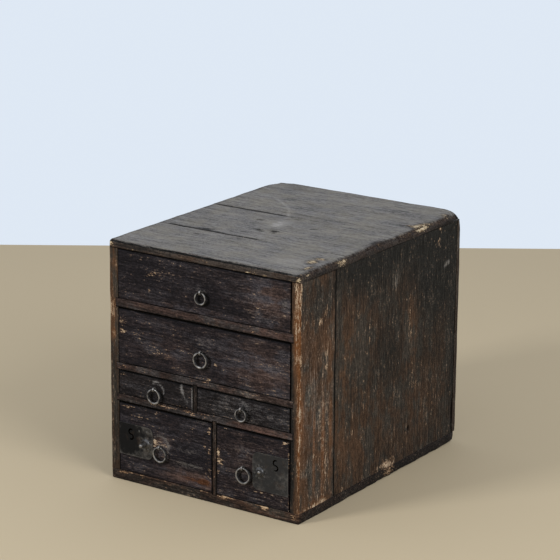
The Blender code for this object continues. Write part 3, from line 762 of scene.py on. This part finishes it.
rail_marks = {
    "upper_shelf": {
        "bare": [
            (-115, 286, 10, 3, 35), (28, 281, 12, 3, 45), (92, 281, 10, 3, 35), (131, 289, 5, 3, 50),
        ],
        "warm": [(0, 287, 170, 6, 25), (120, 285, 50, 6, 30)],
    },
    "middle_shelf": {
        "bare": [
            (-148, 184, 8, 3, 50), (-21, 184, 4, 2, 70), (9, 188, 9, 2, 50), (100, 186, 20, 2, 25),
        ],
        "warm": [(0, 184, 170, 6, 20)],
        "film": [(110, 184, 80, 6, 20)],
    },
    "lower_shelf": {
        "bare": [
            (-75, 135, 46, 2, 42), (-27, 136, 12, 2.4, 45), (2, 137, 9, 3, 35), (150, 136, 6, 3, 40),
        ],
        "warm": [(80, 131, 70, 5, 80)],
    },
}
for plank, (node, rubbed) in enumerate(rail_marks.items(), start=7):
    worn_board(
        node, rail_wood, plank, shown=("front",), base=(0.05, 0.34, 0.0), arrises=RAIL_ARRISES,
        marks=on_front(rubbed), cell=PLAIN_CELL,
    )
divider_wood = stained_wood("stained_divider_wood", turn=UPRIGHT)
divider_bases = {"small_drawer_divider": (-0.12, 0.2, 0.0), "bottom_drawer_divider": (0.04, 0.4, 0.0)}
for plank, (node, divider_base) in enumerate(divider_bases.items(), start=10):
    worn_board(
        node, divider_wood, plank, shown=("front",), base=divider_base, cell=PLAIN_CELL,
        # Both front arrises are darkened: painted shade in the gaps beside the drawers.
        arrises={"front left": (0.0012, -0.4), "front right": (0.001, -0.2)},
    )

# Top
# Three planks, grain from left to right, nailed down on the sides and back, grey with dust and handling.
# The seam behind the front plank has opened and splintered on the left.
TOP_BASE = (0.0, 0.35, 0.85)
TOP_SEAM = (0.0006, -0.12)
TOP_END = (0.005, 0.26)
FRONT_SEAM_Y = -0.1008
REAR_SEAM_Y = 0.0422
# Marks along a seam and a scratch: how far apart, half their width and height, and how strong
SEAM_STEP = 9
SEAM_MARK = (7, 1.6)
SEAM_DARK = 50
SCRATCH_STEP = 2.5
SCRATCH_MARK = (2, 2, 45)


def seam_shade(start, stop, back):
    """Dark marks along an open seam of the top, broken up here and there."""
    count = round((stop - start) / SEAM_STEP)
    places = [start + SEAM_STEP * step for step in range(count)]
    return [(across, back, *SEAM_MARK, -SEAM_DARK - SEAM_DARK * noise.random()) for across in places]


def scratch(start, stop):
    """Pale marks along a long scratch in the dust of the top."""
    start, stop = Vector(start), Vector(stop)
    count = round((stop - start).length / SCRATCH_STEP)
    return [(*start.lerp(stop, step / count), *SCRATCH_MARK) for step in range(count)]


dust_scratch = scratch((-120, 361), (-60, 315)) + scratch((-60, 315), (-25, 262))
front_splinters = broken_places((-0.150, FRONT_SEAM_Y, TOP_Z), (-0.002, FRONT_SEAM_Y, TOP_Z), 3.2)
rear_splinters = broken_places((-0.135, REAR_SEAM_Y, TOP_Z), (-0.040, REAR_SEAM_Y, TOP_Z), 2.2)
end_splinters = broken_places((RIGHT_X, -0.190, TOP_Z), (RIGHT_X, 0.215, TOP_Z), 1.3)
END_TONES = (-30, -38, 5, -30, -15, 0, -25, -40)
END_STEP = 60
END_DARK = [(END_STEP * step, 373, 40, 8, tone) for step, tone in enumerate(END_TONES)]
top_wood = stained_wood(
    "stained_top_wood", stain=(0.017, 0.015, 0.014), thin_stain=(0.080, 0.048, 0.032),
    bare_wood=(0.27, 0.18, 0.095), pale_wood=(0.62, 0.53, 0.38),
)
worn_board(
    "top_front_board", top_wood, plank=12, shown=("top", "front", "left", "right"), base=TOP_BASE,
    arrises={
        "top front": (0.003, 0.03), "top left": (0.0025, 0.2), "top right": TOP_END,
        "front left": (0.003, 0.5), "front right": (0.004, 0.6), "front under": (0.0012, 0.2),
        "top rear": TOP_SEAM,
    },
    marks={
        "front bare": [
            (-169, 377, 6, 6, 70), (-110, 375, 50, 6, -15), (3, 375, 9, 2, 40), (85, 371, 16, 2, 35),
            (167, 374, 5, 6, 60),
        ],
        "front warm": [(0, 374, 190, 12, 30), (-105, 374, 60, 8, -40)],
        "front film": [(0, 370, 260, 8, -230)],
        "top bare": [(146, 70, 11, 13, 100), (160, 40, 7, 16, 80), (148, 91, 12, 6, 80)],
        "top film": [
            (120, 60, 26, 14, 40), (146, 70, 8, 11, -100), (160, 40, 5, 14, -80), (148, 91, 9, 5, -90),
            (100, 40, 40, 12, 30), (-85, 102, 5, 4, -50), (0, 1, 260, 3.2, -75),
        ] + seam_shade(-150, 10, 126),
        "top warm": [(-60, 126, 80, 3, -50), (0, 1, 260, 4, 55)],
        "right film": [(60, 374, 90, 9, -250)],
        "right bare": [(20, 377, 14, 4, 70), (108, 375, 12, 5, 90)] + END_DARK,
        "left film": [(60, 375, 90, 9, -90)],
    },
    bites=front_splinters + end_splinters,
)
worn_board(
    "top_middle_board", top_wood, plank=13, shown=("top", "left", "right"), base=TOP_BASE,
    arrises={"top left": (0.0025, 0.2), "top right": TOP_END, "top front": TOP_SEAM, "top rear": TOP_SEAM},
    marks={
        "top film": [
            (-18, 232, 12, 16, 80), (-14, 212, 9, 9, 90), (-24, 178, 6, 5, -65), (-14, 171, 5, 3, -60),
            (3, 181, 8, 5, -65), (8, 171, 5, 4, -50), (45, 227, 6, 4, -80), (-55, 227, 5, 4, -90),
            (90, 195, 60, 4, -12), (-90, 133, 10, 4, -60), (-80, 139, 6, 3, -50), (166, 215, 6, 22, -90),
            (-8, 260, 9, 3, -60), (20, 258, 12, 2, -30), (48, 262, 9, 3, -50),
        ] + seam_shade(-150, 10, 128) + seam_shade(-160, -35, 267),
        "top warm": [
            (-10, 178, 25, 9, -60), (-60, 128, 80, 3, -50), (-80, 267, 60, 3, -50), (45, 227, 6, 4, -50),
        ],
        "right film": [(200, 374, 100, 9, -250)],
        "right bare": END_DARK,
        "left film": [(200, 375, 90, 9, -90)],
    },
    bites=front_splinters + rear_splinters + end_splinters,
    gouges=[
        ((-0.022, -0.049, TOP_Z), (0.009, 0.005, 0.004), 0.0012),
        ((0.003, -0.049, TOP_Z), (0.010, 0.006, 0.004), 0.0014),
    ],
)
worn_board(
    "top_rear_board", top_wood, plank=14, shown=("top", "left", "right", "rear"), base=TOP_BASE,
    arrises={
        "top left": (0.0025, 0.15), "top right": TOP_END, "top rear": (0.0018, 0.05),
        "right rear": (0.0014, 0.1), "left rear": (0.002, 0.1), "top front": TOP_SEAM,
    },
    marks={
        "top bare": [
            (165, 340, 8, 20, 90), (163, 418, 7, 14, 60), (154, 330, 9, 6, 70), (168, 275, 4, 9, 35),
        ],
        "top film": [
            (46, 335, 5, 4, -40), (140, 323, 22, 6, -30), (0, 288, 150, 4, -22), (115, 382, 22, 5, -25),
            (80, 305, 70, 6, 15), (165, 340, 7, 18, -80), (163, 418, 6, 12, -50), (154, 330, 8, 5, -70),
        ] + seam_shade(-160, -35, 270) + dust_scratch,
        "top warm": [(-80, 270, 60, 3, -50), (140, 323, 22, 6, -30)],
        "right film": [(360, 374, 130, 9, -250)],
        "right bare": [(337, 378, 18, 5, 120)] + END_DARK,
        "left film": [(360, 375, 100, 9, -90)],
        "rear film": [(0, 375, 190, 9, -90)],
    },
    bites=rear_splinters + end_splinters + WORN_CORNERS,
)

# Drawer fronts
# Each is one softwood board, grain from left to right, rabbeted behind for its sides and bottom.
# The stain is rubbed along the grain, and two of the rings have scuffed an arc round their staples.
# Each ring's cast shadow and the shade in the gaps round the fronts are painted on the wood.
# Rub on each front's arrises; the negative ones paint shade into the gaps round the front, as on one right end
FRONT_EDGES = {"left": -0.4, "right": 0.25, "top": -1.0, "under": -0.2}
RIGHT_ENDS_RUBBED_AND_SHADED = {"small_left_drawer": 0.5, "bottom_left_drawer": -0.3}
FRONT_ARRIS = {"left": 0.0014, "right": 0.0014, "top": 0.0020, "under": 0.0014}
FRONT_RUB = 0.0012
# Painted shadow of each ring: darkness in hundredths, then mark size, inset, right and down shift in millimetres
RING_SHADOW = -36
RING_SHADOW_SIZE = 3.0
RING_SHADOW_INSET = 1.6
RING_SHADOW_RIGHT = 3
RING_SHADOW_DOWN = 2
BROKEN_CORNERS = {"bottom_right_drawer": [((0.157, FRONT_Y, 0.126), 0.016, 3.0)]}


def arc_marks(across, up, radius, amount, size, start=0, step=9, count=14):
    """Round marks along an arc, from an angle in degrees on."""
    angles = [math.radians(start + step * number) for number in range(count)]
    return [(across + radius * math.cos(a), up + radius * math.sin(a), size, size, amount) for a in angles]


def ring_shadow_marks(drawer):
    """Painted shadow of a ring: dark marks on the wood behind it, low and to the right, where its cast shadow
    falls.
    """
    low, high = (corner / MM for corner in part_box(drawer + "_ring"))
    radius = (high.x - low.x) / 2 - RING_SHADOW_INSET
    across, _, up = (low + high) / 2
    middle = (across + RING_SHADOW_RIGHT, up - RING_SHADOW_DOWN)
    return arc_marks(*middle, radius, RING_SHADOW, RING_SHADOW_SIZE, step=18, count=20)


front_marks = {
    "top_drawer": {
        "bare": [
            (-94, 338, 13, 4, 40), (-128, 336, 6, 3, 35), (-98, 313, 3, 3, 50), (-60, 318, 5, 3, 40),
            (-146, 303, 10, 4, 35), (76, 341, 26, 3, 30), (128, 355, 7, 4, 50), (99, 319, 3, 3, 60),
            (-40, 345, 60, 12, 8),
        ],
        "warm": [
            (0, 296, 160, 7, 20), (120, 335, 45, 30, 55), (-110, 345, 60, 30, -20), (60, 305, 60, 12, -10),
        ],
        # The broad film mark over the right part is painted light, as from a lamp at the right; the others are
        # dust.
        "film": [(145, 334, 6, 9, 35), (4, 332, 18, 14, 34), (110, 325, 55, 40, 14)],
    },
    "second_drawer": {
        "bare": [
            (-150, 250, 7, 16, 40), (-150, 239, 6, 4, 45), (-80, 219, 14, 8, 30), (-118, 246, 12, 8, 20),
            (2, 189, 8, 2, 50), (12, 193, 4, 2.5, 60), (22, 219, 3, 3, 40), (120, 240, 34, 10, 22),
            (120, 203, 40, 12, 22), (62, 271, 10, 3, 30), (-45, 255, 12, 8, 18),
        ],
        "warm": [(110, 225, 55, 40, 52), (-60, 222, 60, 20, 20)],
        # The broad film mark over the right part is painted light, as from a lamp at the right; the others are
        # dust.
        "film": [(-20, 250, 40, 16, 8), (4, 244, 14, 12, 12), (110, 230, 60, 45, 14)],
    },
    "small_left_drawer": {
        "bare": [
            (-150, 171, 9, 3, 60), (-138, 149, 4, 3, 40), (-100, 141, 40, 2, 35), (-40, 141, 16, 2, 40),
        ],
        "film": [
            (-40, 177, 2.0, 5, 70), (-39.3, 170, 2.6, 5, 90), (-37, 163, 2.2, 4.5, 90),
            (-33.5, 156.5, 1.8, 4, 80), (-29, 151, 1.7, 3.5, 70), (-19.6, 160, 0.9, 20, 150),
            (-92, 165, 7, 5, 30),
        ] + arc_marks(-87, 156, 14.5, 60, 1.9, start=-5),
    },
    "small_right_drawer": {
        "bare": [(119, 167, 3, 3, 45), (60, 142, 30, 2, 25), (60, 176, 60, 2, 20)],
        # The first, broad film mark is painted light, as from a lamp at the right; the small ones are dust.
        "film": [(70, 158, 90, 20, 25), (80, 166, 4, 3, 40), (74, 170, 4, 3, 40)],
    },
    "bottom_left_drawer": {
        "bare": [
            (-140, 122, 14, 4, 50), (-84, 123, 8, 3, 50), (-110, 108, 24, 3, 40), (-20, 108, 5, 3, 45),
            (4, 88, 3, 4, 60), (12, 80, 3, 6, 50), (13, 112, 3, 12, 40), (8, 60, 6, 5, 40),
            (11, 40, 5, 8, 45), (-90, 75, 3, 6, 80), (-79, 71, 14, 13, 68), (11, 109, 3, 3, 50),
            (10, 77, 4, 3, 50), (11, 50, 4, 3, 50),
        ],
        "warm": [
            (-20, 30, 46, 9, 120), (8, 28, 14, 9, 60), (-79, 71, 16, 15, 90), (-30, 62, 40, 8, -20),
        ],
        "film": [(-30, 73, 28, 4, 30), (-25, 50, 30, 5, 62), (-79, 71, 14, 14, 45)]
        + arc_marks(-79, 71, 15.5, 35, 2.2, start=-30, count=28),
    },
    "bottom_right_drawer": {
        "bare": [
            (28, 84, 5, 6, 90), (31, 70, 7, 6, 95), (28, 52, 4, 5, 60), (37, 124, 8, 3, 60),
            (104, 36, 14, 4, 45), (60, 30, 20, 3, 25), (150, 122, 8, 3, 80), (142, 125, 8, 2, 60),
            (155, 100, 2, 20, 30), (155, 30, 2, 10, 40),
        ],
        "warm": [(80, 75, 70, 60, 20)],
        # The broad second film mark is painted light, as from a lamp at the right; the first is dust.
        "film": [(60, 95, 25, 8, 8), (90, 50, 80, 60, 13)],
    },
}
rubbed_front = {"bare_wood": (0.19, 0.112, 0.065), "pale_wood": (0.60, 0.47, 0.33)}
front_wood = stained_wood(
    "stained_drawer_wood", stain=(0.0100, 0.0084, 0.0106), thin_stain=(0.083, 0.053, 0.045),
    grey_stain=(0.058, 0.052, 0.060), red_wood=(0.072, 0.028, 0.012), **rubbed_front,
    dust=(0.172, 0.159, 0.150), warm_dust=(0.172, 0.149, 0.130),
)
small_front_wood = stained_wood(
    "stained_small_drawer_wood", stain=(0.0105, 0.0088, 0.0095), thin_stain=(0.062, 0.048, 0.046),
    grey_stain=(0.057, 0.055, 0.062), **rubbed_front, warm_dust=(0.165, 0.157, 0.155),
)
for plank, (drawer, worn_places) in enumerate(front_marks.items(), start=15):
    edges = {**FRONT_EDGES, "right": RIGHT_ENDS_RUBBED_AND_SHADED.get(drawer, FRONT_EDGES["right"])}
    worn_board(
        drawer + "_front", small_front_wood if "small" in drawer else front_wood, plank,
        shown=("front",), base=(0.04, 0.2, 0.0), cell=0.0026, rub_width=FRONT_RUB,
        arrises={"front " + edge: (FRONT_ARRIS[edge], rubbed) for edge, rubbed in edges.items()},
        # The bare marks also carry each ring's painted shadow.
        marks=on_front({**worn_places, "bare": worn_places["bare"] + ring_shadow_marks(drawer)}),
        bites=BROKEN_CORNERS.get(drawer, ()),
    )

# Drawer boxes
# Thin unfinished boards, browned with age: two sides nailed into the front's rabbets, a back and a bottom.
# Handling has darkened their edges, and the rest is raw wood.
BOX_ARRIS = (0.0006, 0.0)
box_wood = {
    "along": stained_wood("bare_box_wood_along", turn=(0, 0, math.pi / 2)),
    "across": stained_wood("bare_box_wood_across"),
}
box_boards = {
    "left_side": ("along", "top", ("top left", "top right")),
    "right_side": ("along", "top", ("top left", "top right")),
    "back": ("across", "top", ("top front", "top rear")),
    "bottom": ("along", "rear", ("under left", "under right")),
}
for plank, (drawer, board) in enumerate(itertools.product(front_marks, box_boards), start=30):
    grain, handled, edges = box_boards[board]
    worn_board(
        f"{drawer}_{board}", box_wood[grain], plank, shown=(handled,), base=(0.1, 0.9, 0.1), cell=0.012,
        arrises={edge: BOX_ARRIS for edge in edges},
    )

# Staples
# Split pins of forged strip: the eye holds the ring, and two legs pass through the front and are clenched.
# Like all the iron here, they have a dark scale that use has rubbed to grey.
IRON_BEVEL = 0.0004
IRON_CORNER = math.radians(30)
IRON_RELIEF = (0.6, 0.0003)
IRON_METALLIC = 0.7
RUST = (0.055, 0.033, 0.022, 1)
STAPLE_RUB = 0.75

patina, patina_in, patina_out = new_group(
    "forge_scale",
    {
        "Place": Vector((0, 0, 0)),
        "Rubbed": 0.0,
        "Scale": (0.022, 0.021, 0.0205, 1),
        "Worn iron": (0.21, 0.20, 0.19, 1),
    },
    {"Colour": tuple, "Roughness": float, "Height": float},
)
pits = add(patina, "TexNoise", {"Vector": patina_in["Place"], "Scale": 420.0, "Detail": 4.0}).outputs[0]
bloom = add(patina, "TexNoise", {"Vector": patina_in["Place"], "Scale": 90.0, "Detail": 3.0}).outputs[0]
rub_sum = total(patina, patina_in["Rubbed"], centred(patina, pits, 0.7), centred(patina, bloom, 0.5))
rub = ramped(patina, rub_sum, 0.2, 0.95)
iron_colour = mixed(patina, rub, patina_in["Scale"], patina_in["Worn iron"])
rust = ramped(patina, bloom, 0.55, 0.75, to_high=0.35)
iron_colour = mixed(patina, rust, iron_colour, RUST)
patina.links.new(iron_colour, patina_out["Colour"])
iron_rough = ramped(patina, rub_sum, 0.0, 1.0, to_low=0.62, to_high=0.36)
patina.links.new(iron_rough, patina_out["Roughness"])
patina.links.new(total(patina, pits, work(patina, "MULTIPLY", bloom, 0.6)), patina_out["Height"])


def forged_iron(name, gloss=0.5, **colours):
    """Dark forged iron, brighter where its finish value says that it is rubbed."""
    material, tree, output = new_material(name)
    place = add(tree, "TexCoord").outputs["Object"]
    finish = add(tree, "Attribute", attribute_name="finish").outputs["Vector"]
    rubbed = add(tree, "SeparateXYZ", {0: finish}).outputs[0]
    iron = add(tree, "Group", {"Place": place, "Rubbed": rubbed}, node_tree=patina)
    shaded(output, iron, colours, IRON_RELIEF, {"Metallic": IRON_METALLIC, "Specular IOR Level": gloss})
    return material


def rub_iron(shape, value):
    """Gives each point of an iron shape its rubbed value, worked out from its place and direction."""
    finish = shape.verts.layers.float_vector.new("finish")
    shape.normal_update()
    for vertex in shape.verts:
        vertex[finish] = (value(vertex.co, vertex.normal), 0, 0)


pull_iron = forged_iron("forged_pull_iron")
for drawer in front_marks:
    node = drawer + "_staple"
    staple = copy_of(node)
    corners = [edge for edge in staple.edges if edge.calc_face_angle(0) > IRON_CORNER]
    bmesh.ops.bevel(
        staple, geom=corners, offset=IRON_BEVEL, segments=2, profile=0.5, affect="EDGES", material=-1,
        clamp_overlap=True,
    )
    rub_iron(staple, lambda place, normal: STAPLE_RUB)
    stand_in(node, staple, pull_iron)

# Ring pulls
# Each ring is forged wire, hammered round and closed by hand, so its thickness wanders.
# Use has polished its faces and thinned it where it hangs in the staple's eye.
# A painted highlight brightens the left side of each ring's wire, as if it were lit from the left.
RING_STEPS = 64
WIRE_SIDES = 16
EYE_REACH = 0.006
EYE_WEAR = 0.3
HAMMERED = 0.1
HAMMER_MARKS = (0.004, 2.0)
# How far the wire is polished on its faces and how bright the painted highlight on its left is,
# then how dark and uneven it is elsewhere
RING_FACES = 1.2
RING_LEFT_HIGHLIGHT = 0.6
RING_SHADE = 0.45
RING_UNEVEN = 0.6
RING_PATCHES = (0.005, 6.0)
joint_place = {joint["name"]: Vector(joint["pos_m"]) for joint in frame["joints"] if "pos_m" in joint}
# Ring radius to the middle of the wire, wire radius, and lean in degrees
RINGS = {
    "top": (0.0091, 0.0018, 0),
    "second": (0.0115, 0.0022, 0),
    "small_left": (0.0109, 0.0021, 0),
    "small_right": (0.0093, 0.0018, 0),
    "bottom_left": (0.0114, 0.0020, 4),
    "bottom_right": (0.0117, 0.0022, 9),
}


def turned_round(shape, outline, centre, steps):
    """Turns an outline once round a line that runs from front to rear, into a closed shape."""
    bmesh.ops.spin(
        shape, geom=outline, cent=centre, axis=(0, 1, 0), angle=math.tau, steps=steps, use_merge=True
    )
    bmesh.ops.remove_doubles(shape, verts=shape.verts[:], dist=MERGE)
    bmesh.ops.recalc_face_normals(shape, faces=shape.faces[:])


def ring_polish_and_highlight(place, normal):
    """How far the wire of a ring is polished at a point, with a painted highlight on its left side."""
    facing = RING_FACES * abs(normal.y) - RING_LEFT_HIGHLIGHT * normal.x
    return facing - RING_SHADE + RING_UNEVEN * wander(place, *RING_PATCHES)


ring_iron = forged_iron("forged_ring_iron", scale=(0.020, 0.019, 0.019), worn_iron=(0.30, 0.29, 0.28))
for name, (ring_radius, wire_radius, lean) in RINGS.items():
    ring = bmesh.new()
    wire = bmesh.ops.create_circle(ring, segments=WIRE_SIDES, radius=wire_radius)
    bmesh.ops.rotate(ring, verts=wire["verts"], matrix=Matrix.Rotation(math.pi / 2, 3, "Y"))
    turned_round(ring, ring.verts[:] + ring.edges[:], (0, 0, -ring_radius), RING_STEPS)
    bmesh.ops.rotate(ring, verts=ring.verts, matrix=Matrix.Rotation(math.radians(-lean), 3, "Y"))
    bmesh.ops.translate(ring, verts=ring.verts, vec=joint_place[name + "_ring_swing"])
    ring.normal_update()
    hung_at = joint_place[name + "_ring_swing"].z
    for vertex in ring.verts:
        in_eye = max(0, 1 - (hung_at - vertex.co.z) / EYE_REACH)
        swell = HAMMERED * wander(vertex.co, *HAMMER_MARKS) - EYE_WEAR * in_eye
        vertex.co += vertex.normal * wire_radius * swell
    rub_iron(ring, ring_polish_and_highlight)
    stand_in(name + "_drawer_ring", ring, ring_iron)

# Lock plates
# Thin iron plates nailed on the bottom drawers' outer ends, with an S-shaped key slot and a raised boss.
# Petals are chased round the boss. The left plate has stayed black, and the right one is worn grey.
PLATE_CELL = 0.0013
PLATE_DENT = 0.00025
PLATE_RIM = 0.0022
PLATE_UNEVEN = 0.3
PLATE_PATCHES = ((0.02, 9.0), (0.006, 9.0))
DENT_SHARE = 0.5
DENT_PATCHES = (0.008, 4.0)
FRONT_FACING = -0.5
# How far each plate is rubbed, and how much more on its edges, rim, petals and studs
PLATE_RUB = {"left": 0.62, "right": 0.3}
EDGE_RUB = 0.5
RIM_RUB = 0.2
PETAL_RUB = 0.6
STUD_RUB = 0.8
PETALS = 11
PETAL_INNER = 0.0066
PETAL_OUTER = 0.0125
PETAL_HEIGHT = 0.0008
PETAL_SHARE = 0.7
PETAL_PATCHES = (0.005, 1.0)
STUD_RADIUS = 0.0019
# Raised studs, and holes with a negative height, in millimetres across and up from the floor
PLATE_STUDS = {"left": ((-118, 87, 0.9), (-104, 87.5, 0.9)), "right": ((147.8, 87.7, -0.8),)}
BLACK_PATCH = (-142, 80, 24, 30, -85)
plate_iron = {
    "left": forged_iron(
        "blackened_plate_iron", gloss=0.25, scale=(0.008, 0.008, 0.0086), worn_iron=(0.11, 0.107, 0.106)
    ),
    "right": forged_iron(
        "hammered_plate_iron", scale=(0.028, 0.0275, 0.028), worn_iron=(0.125, 0.123, 0.124)
    ),
}


def petal(place, centre):
    """How far a point of a plate stands on one of the petals round the boss, from 0 to 1."""
    gap = place - centre
    along = (math.hypot(gap.x, gap.z) - PETAL_INNER) / (PETAL_OUTER - PETAL_INNER)
    if not 0 < along < 1:
        return 0.0
    turned = PETALS * math.atan2(gap.z, gap.x)
    form = math.sin(math.pi * along) * max(0.0, math.cos(turned))
    return form * (PETAL_SHARE + wander(place, *PETAL_PATCHES))


for side in ("left", "right"):
    node = f"bottom_{side}_drawer_lock_plate"
    plate = copy_of(node)
    low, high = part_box(node)
    button_low, button_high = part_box(f"bottom_{side}_drawer_lock_button")
    boss = (button_low + button_high) / 2
    for axis in (0, 2):
        steps = math.ceil((high[axis] - low[axis]) / PLATE_CELL)
        cut_lines(plate, axis, [low[axis] + (high[axis] - low[axis]) * i / steps for i in range(1, steps)])
    finish = plate.verts.layers.float_vector.new("finish")
    plate.normal_update()
    for vertex in plate.verts:
        place = vertex.co.copy()
        rub = PLATE_RUB[side] + EDGE_RUB * max(0, 1 + vertex.normal.y)
        rub += PLATE_UNEVEN * sum(wander(place, *patch) for patch in PLATE_PATCHES)
        rim = min(place.x - low.x, high.x - place.x, place.z - low.z, high.z - place.z)
        raised = petal(place, boss)
        rub += RIM_RUB * max(0, 1 - rim / PLATE_RIM) + PETAL_RUB * raised
        if side == "left":
            rub += mark_weight(place, "front", BLACK_PATCH)
        if vertex.normal.y < FRONT_FACING:
            vertex.co.y += PLATE_DENT * (DENT_SHARE + wander(place, *DENT_PATCHES))
            vertex.co.y -= PETAL_HEIGHT * raised
            for across, up, height in PLATE_STUDS[side]:
                away = math.hypot(place.x - across * MM, place.z - up * MM) / STUD_RADIUS
                if away < 1:
                    vertex.co.y -= height * MM * (1 - away * away)
                    rub += STUD_RUB * math.copysign(1 - away * away, height)
        vertex[finish] = (rub, 0, 0)
    stand_in(node, plate, plate_iron[side])

# Lock buttons
# Turned iron pins that slide in the plates' bosses, each with a flange that keeps it in.
# The left one stands out and the right one is pressed in.
BUTTON_RADIUS = 0.0033
BUTTON_NOSE_LENGTH = 0.0026
FLANGE_THICK = 0.0015
BUTTON_STEPS = 40
BUTTON_RUB = 0.2
BUTTON_FACE_RUB = 0.8
# The pin's rounded nose by its radius and the distance from the tip
BUTTON_NOSE = ((0, 0), (0.0012, 0.0001), (0.0022, 0.0006), (0.0029, 0.0015))
for side in ("left", "right"):
    node = f"bottom_{side}_drawer_lock_button"
    low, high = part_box(node)
    middle = (low + high) / 2
    flange_radius = (high.x - low.x) / 2
    flange_front = high.y - FLANGE_THICK
    profile = [(radius, low.y + back) for radius, back in BUTTON_NOSE]
    profile += [(BUTTON_RADIUS, low.y + BUTTON_NOSE_LENGTH), (BUTTON_RADIUS, flange_front)]
    profile += [(flange_radius, flange_front), (flange_radius, high.y), (0, high.y)]
    button = bmesh.new()
    points = [button.verts.new((middle.x + radius, y, middle.z)) for radius, y in profile]
    outline = [button.edges.new(pair) for pair in zip(points, points[1:])]
    turned_round(button, points + outline, (middle.x, 0, middle.z), BUTTON_STEPS)
    rub_iron(button, lambda place, normal: BUTTON_RUB - BUTTON_FACE_RUB * normal.y)
    stand_in(node, button, pull_iron)
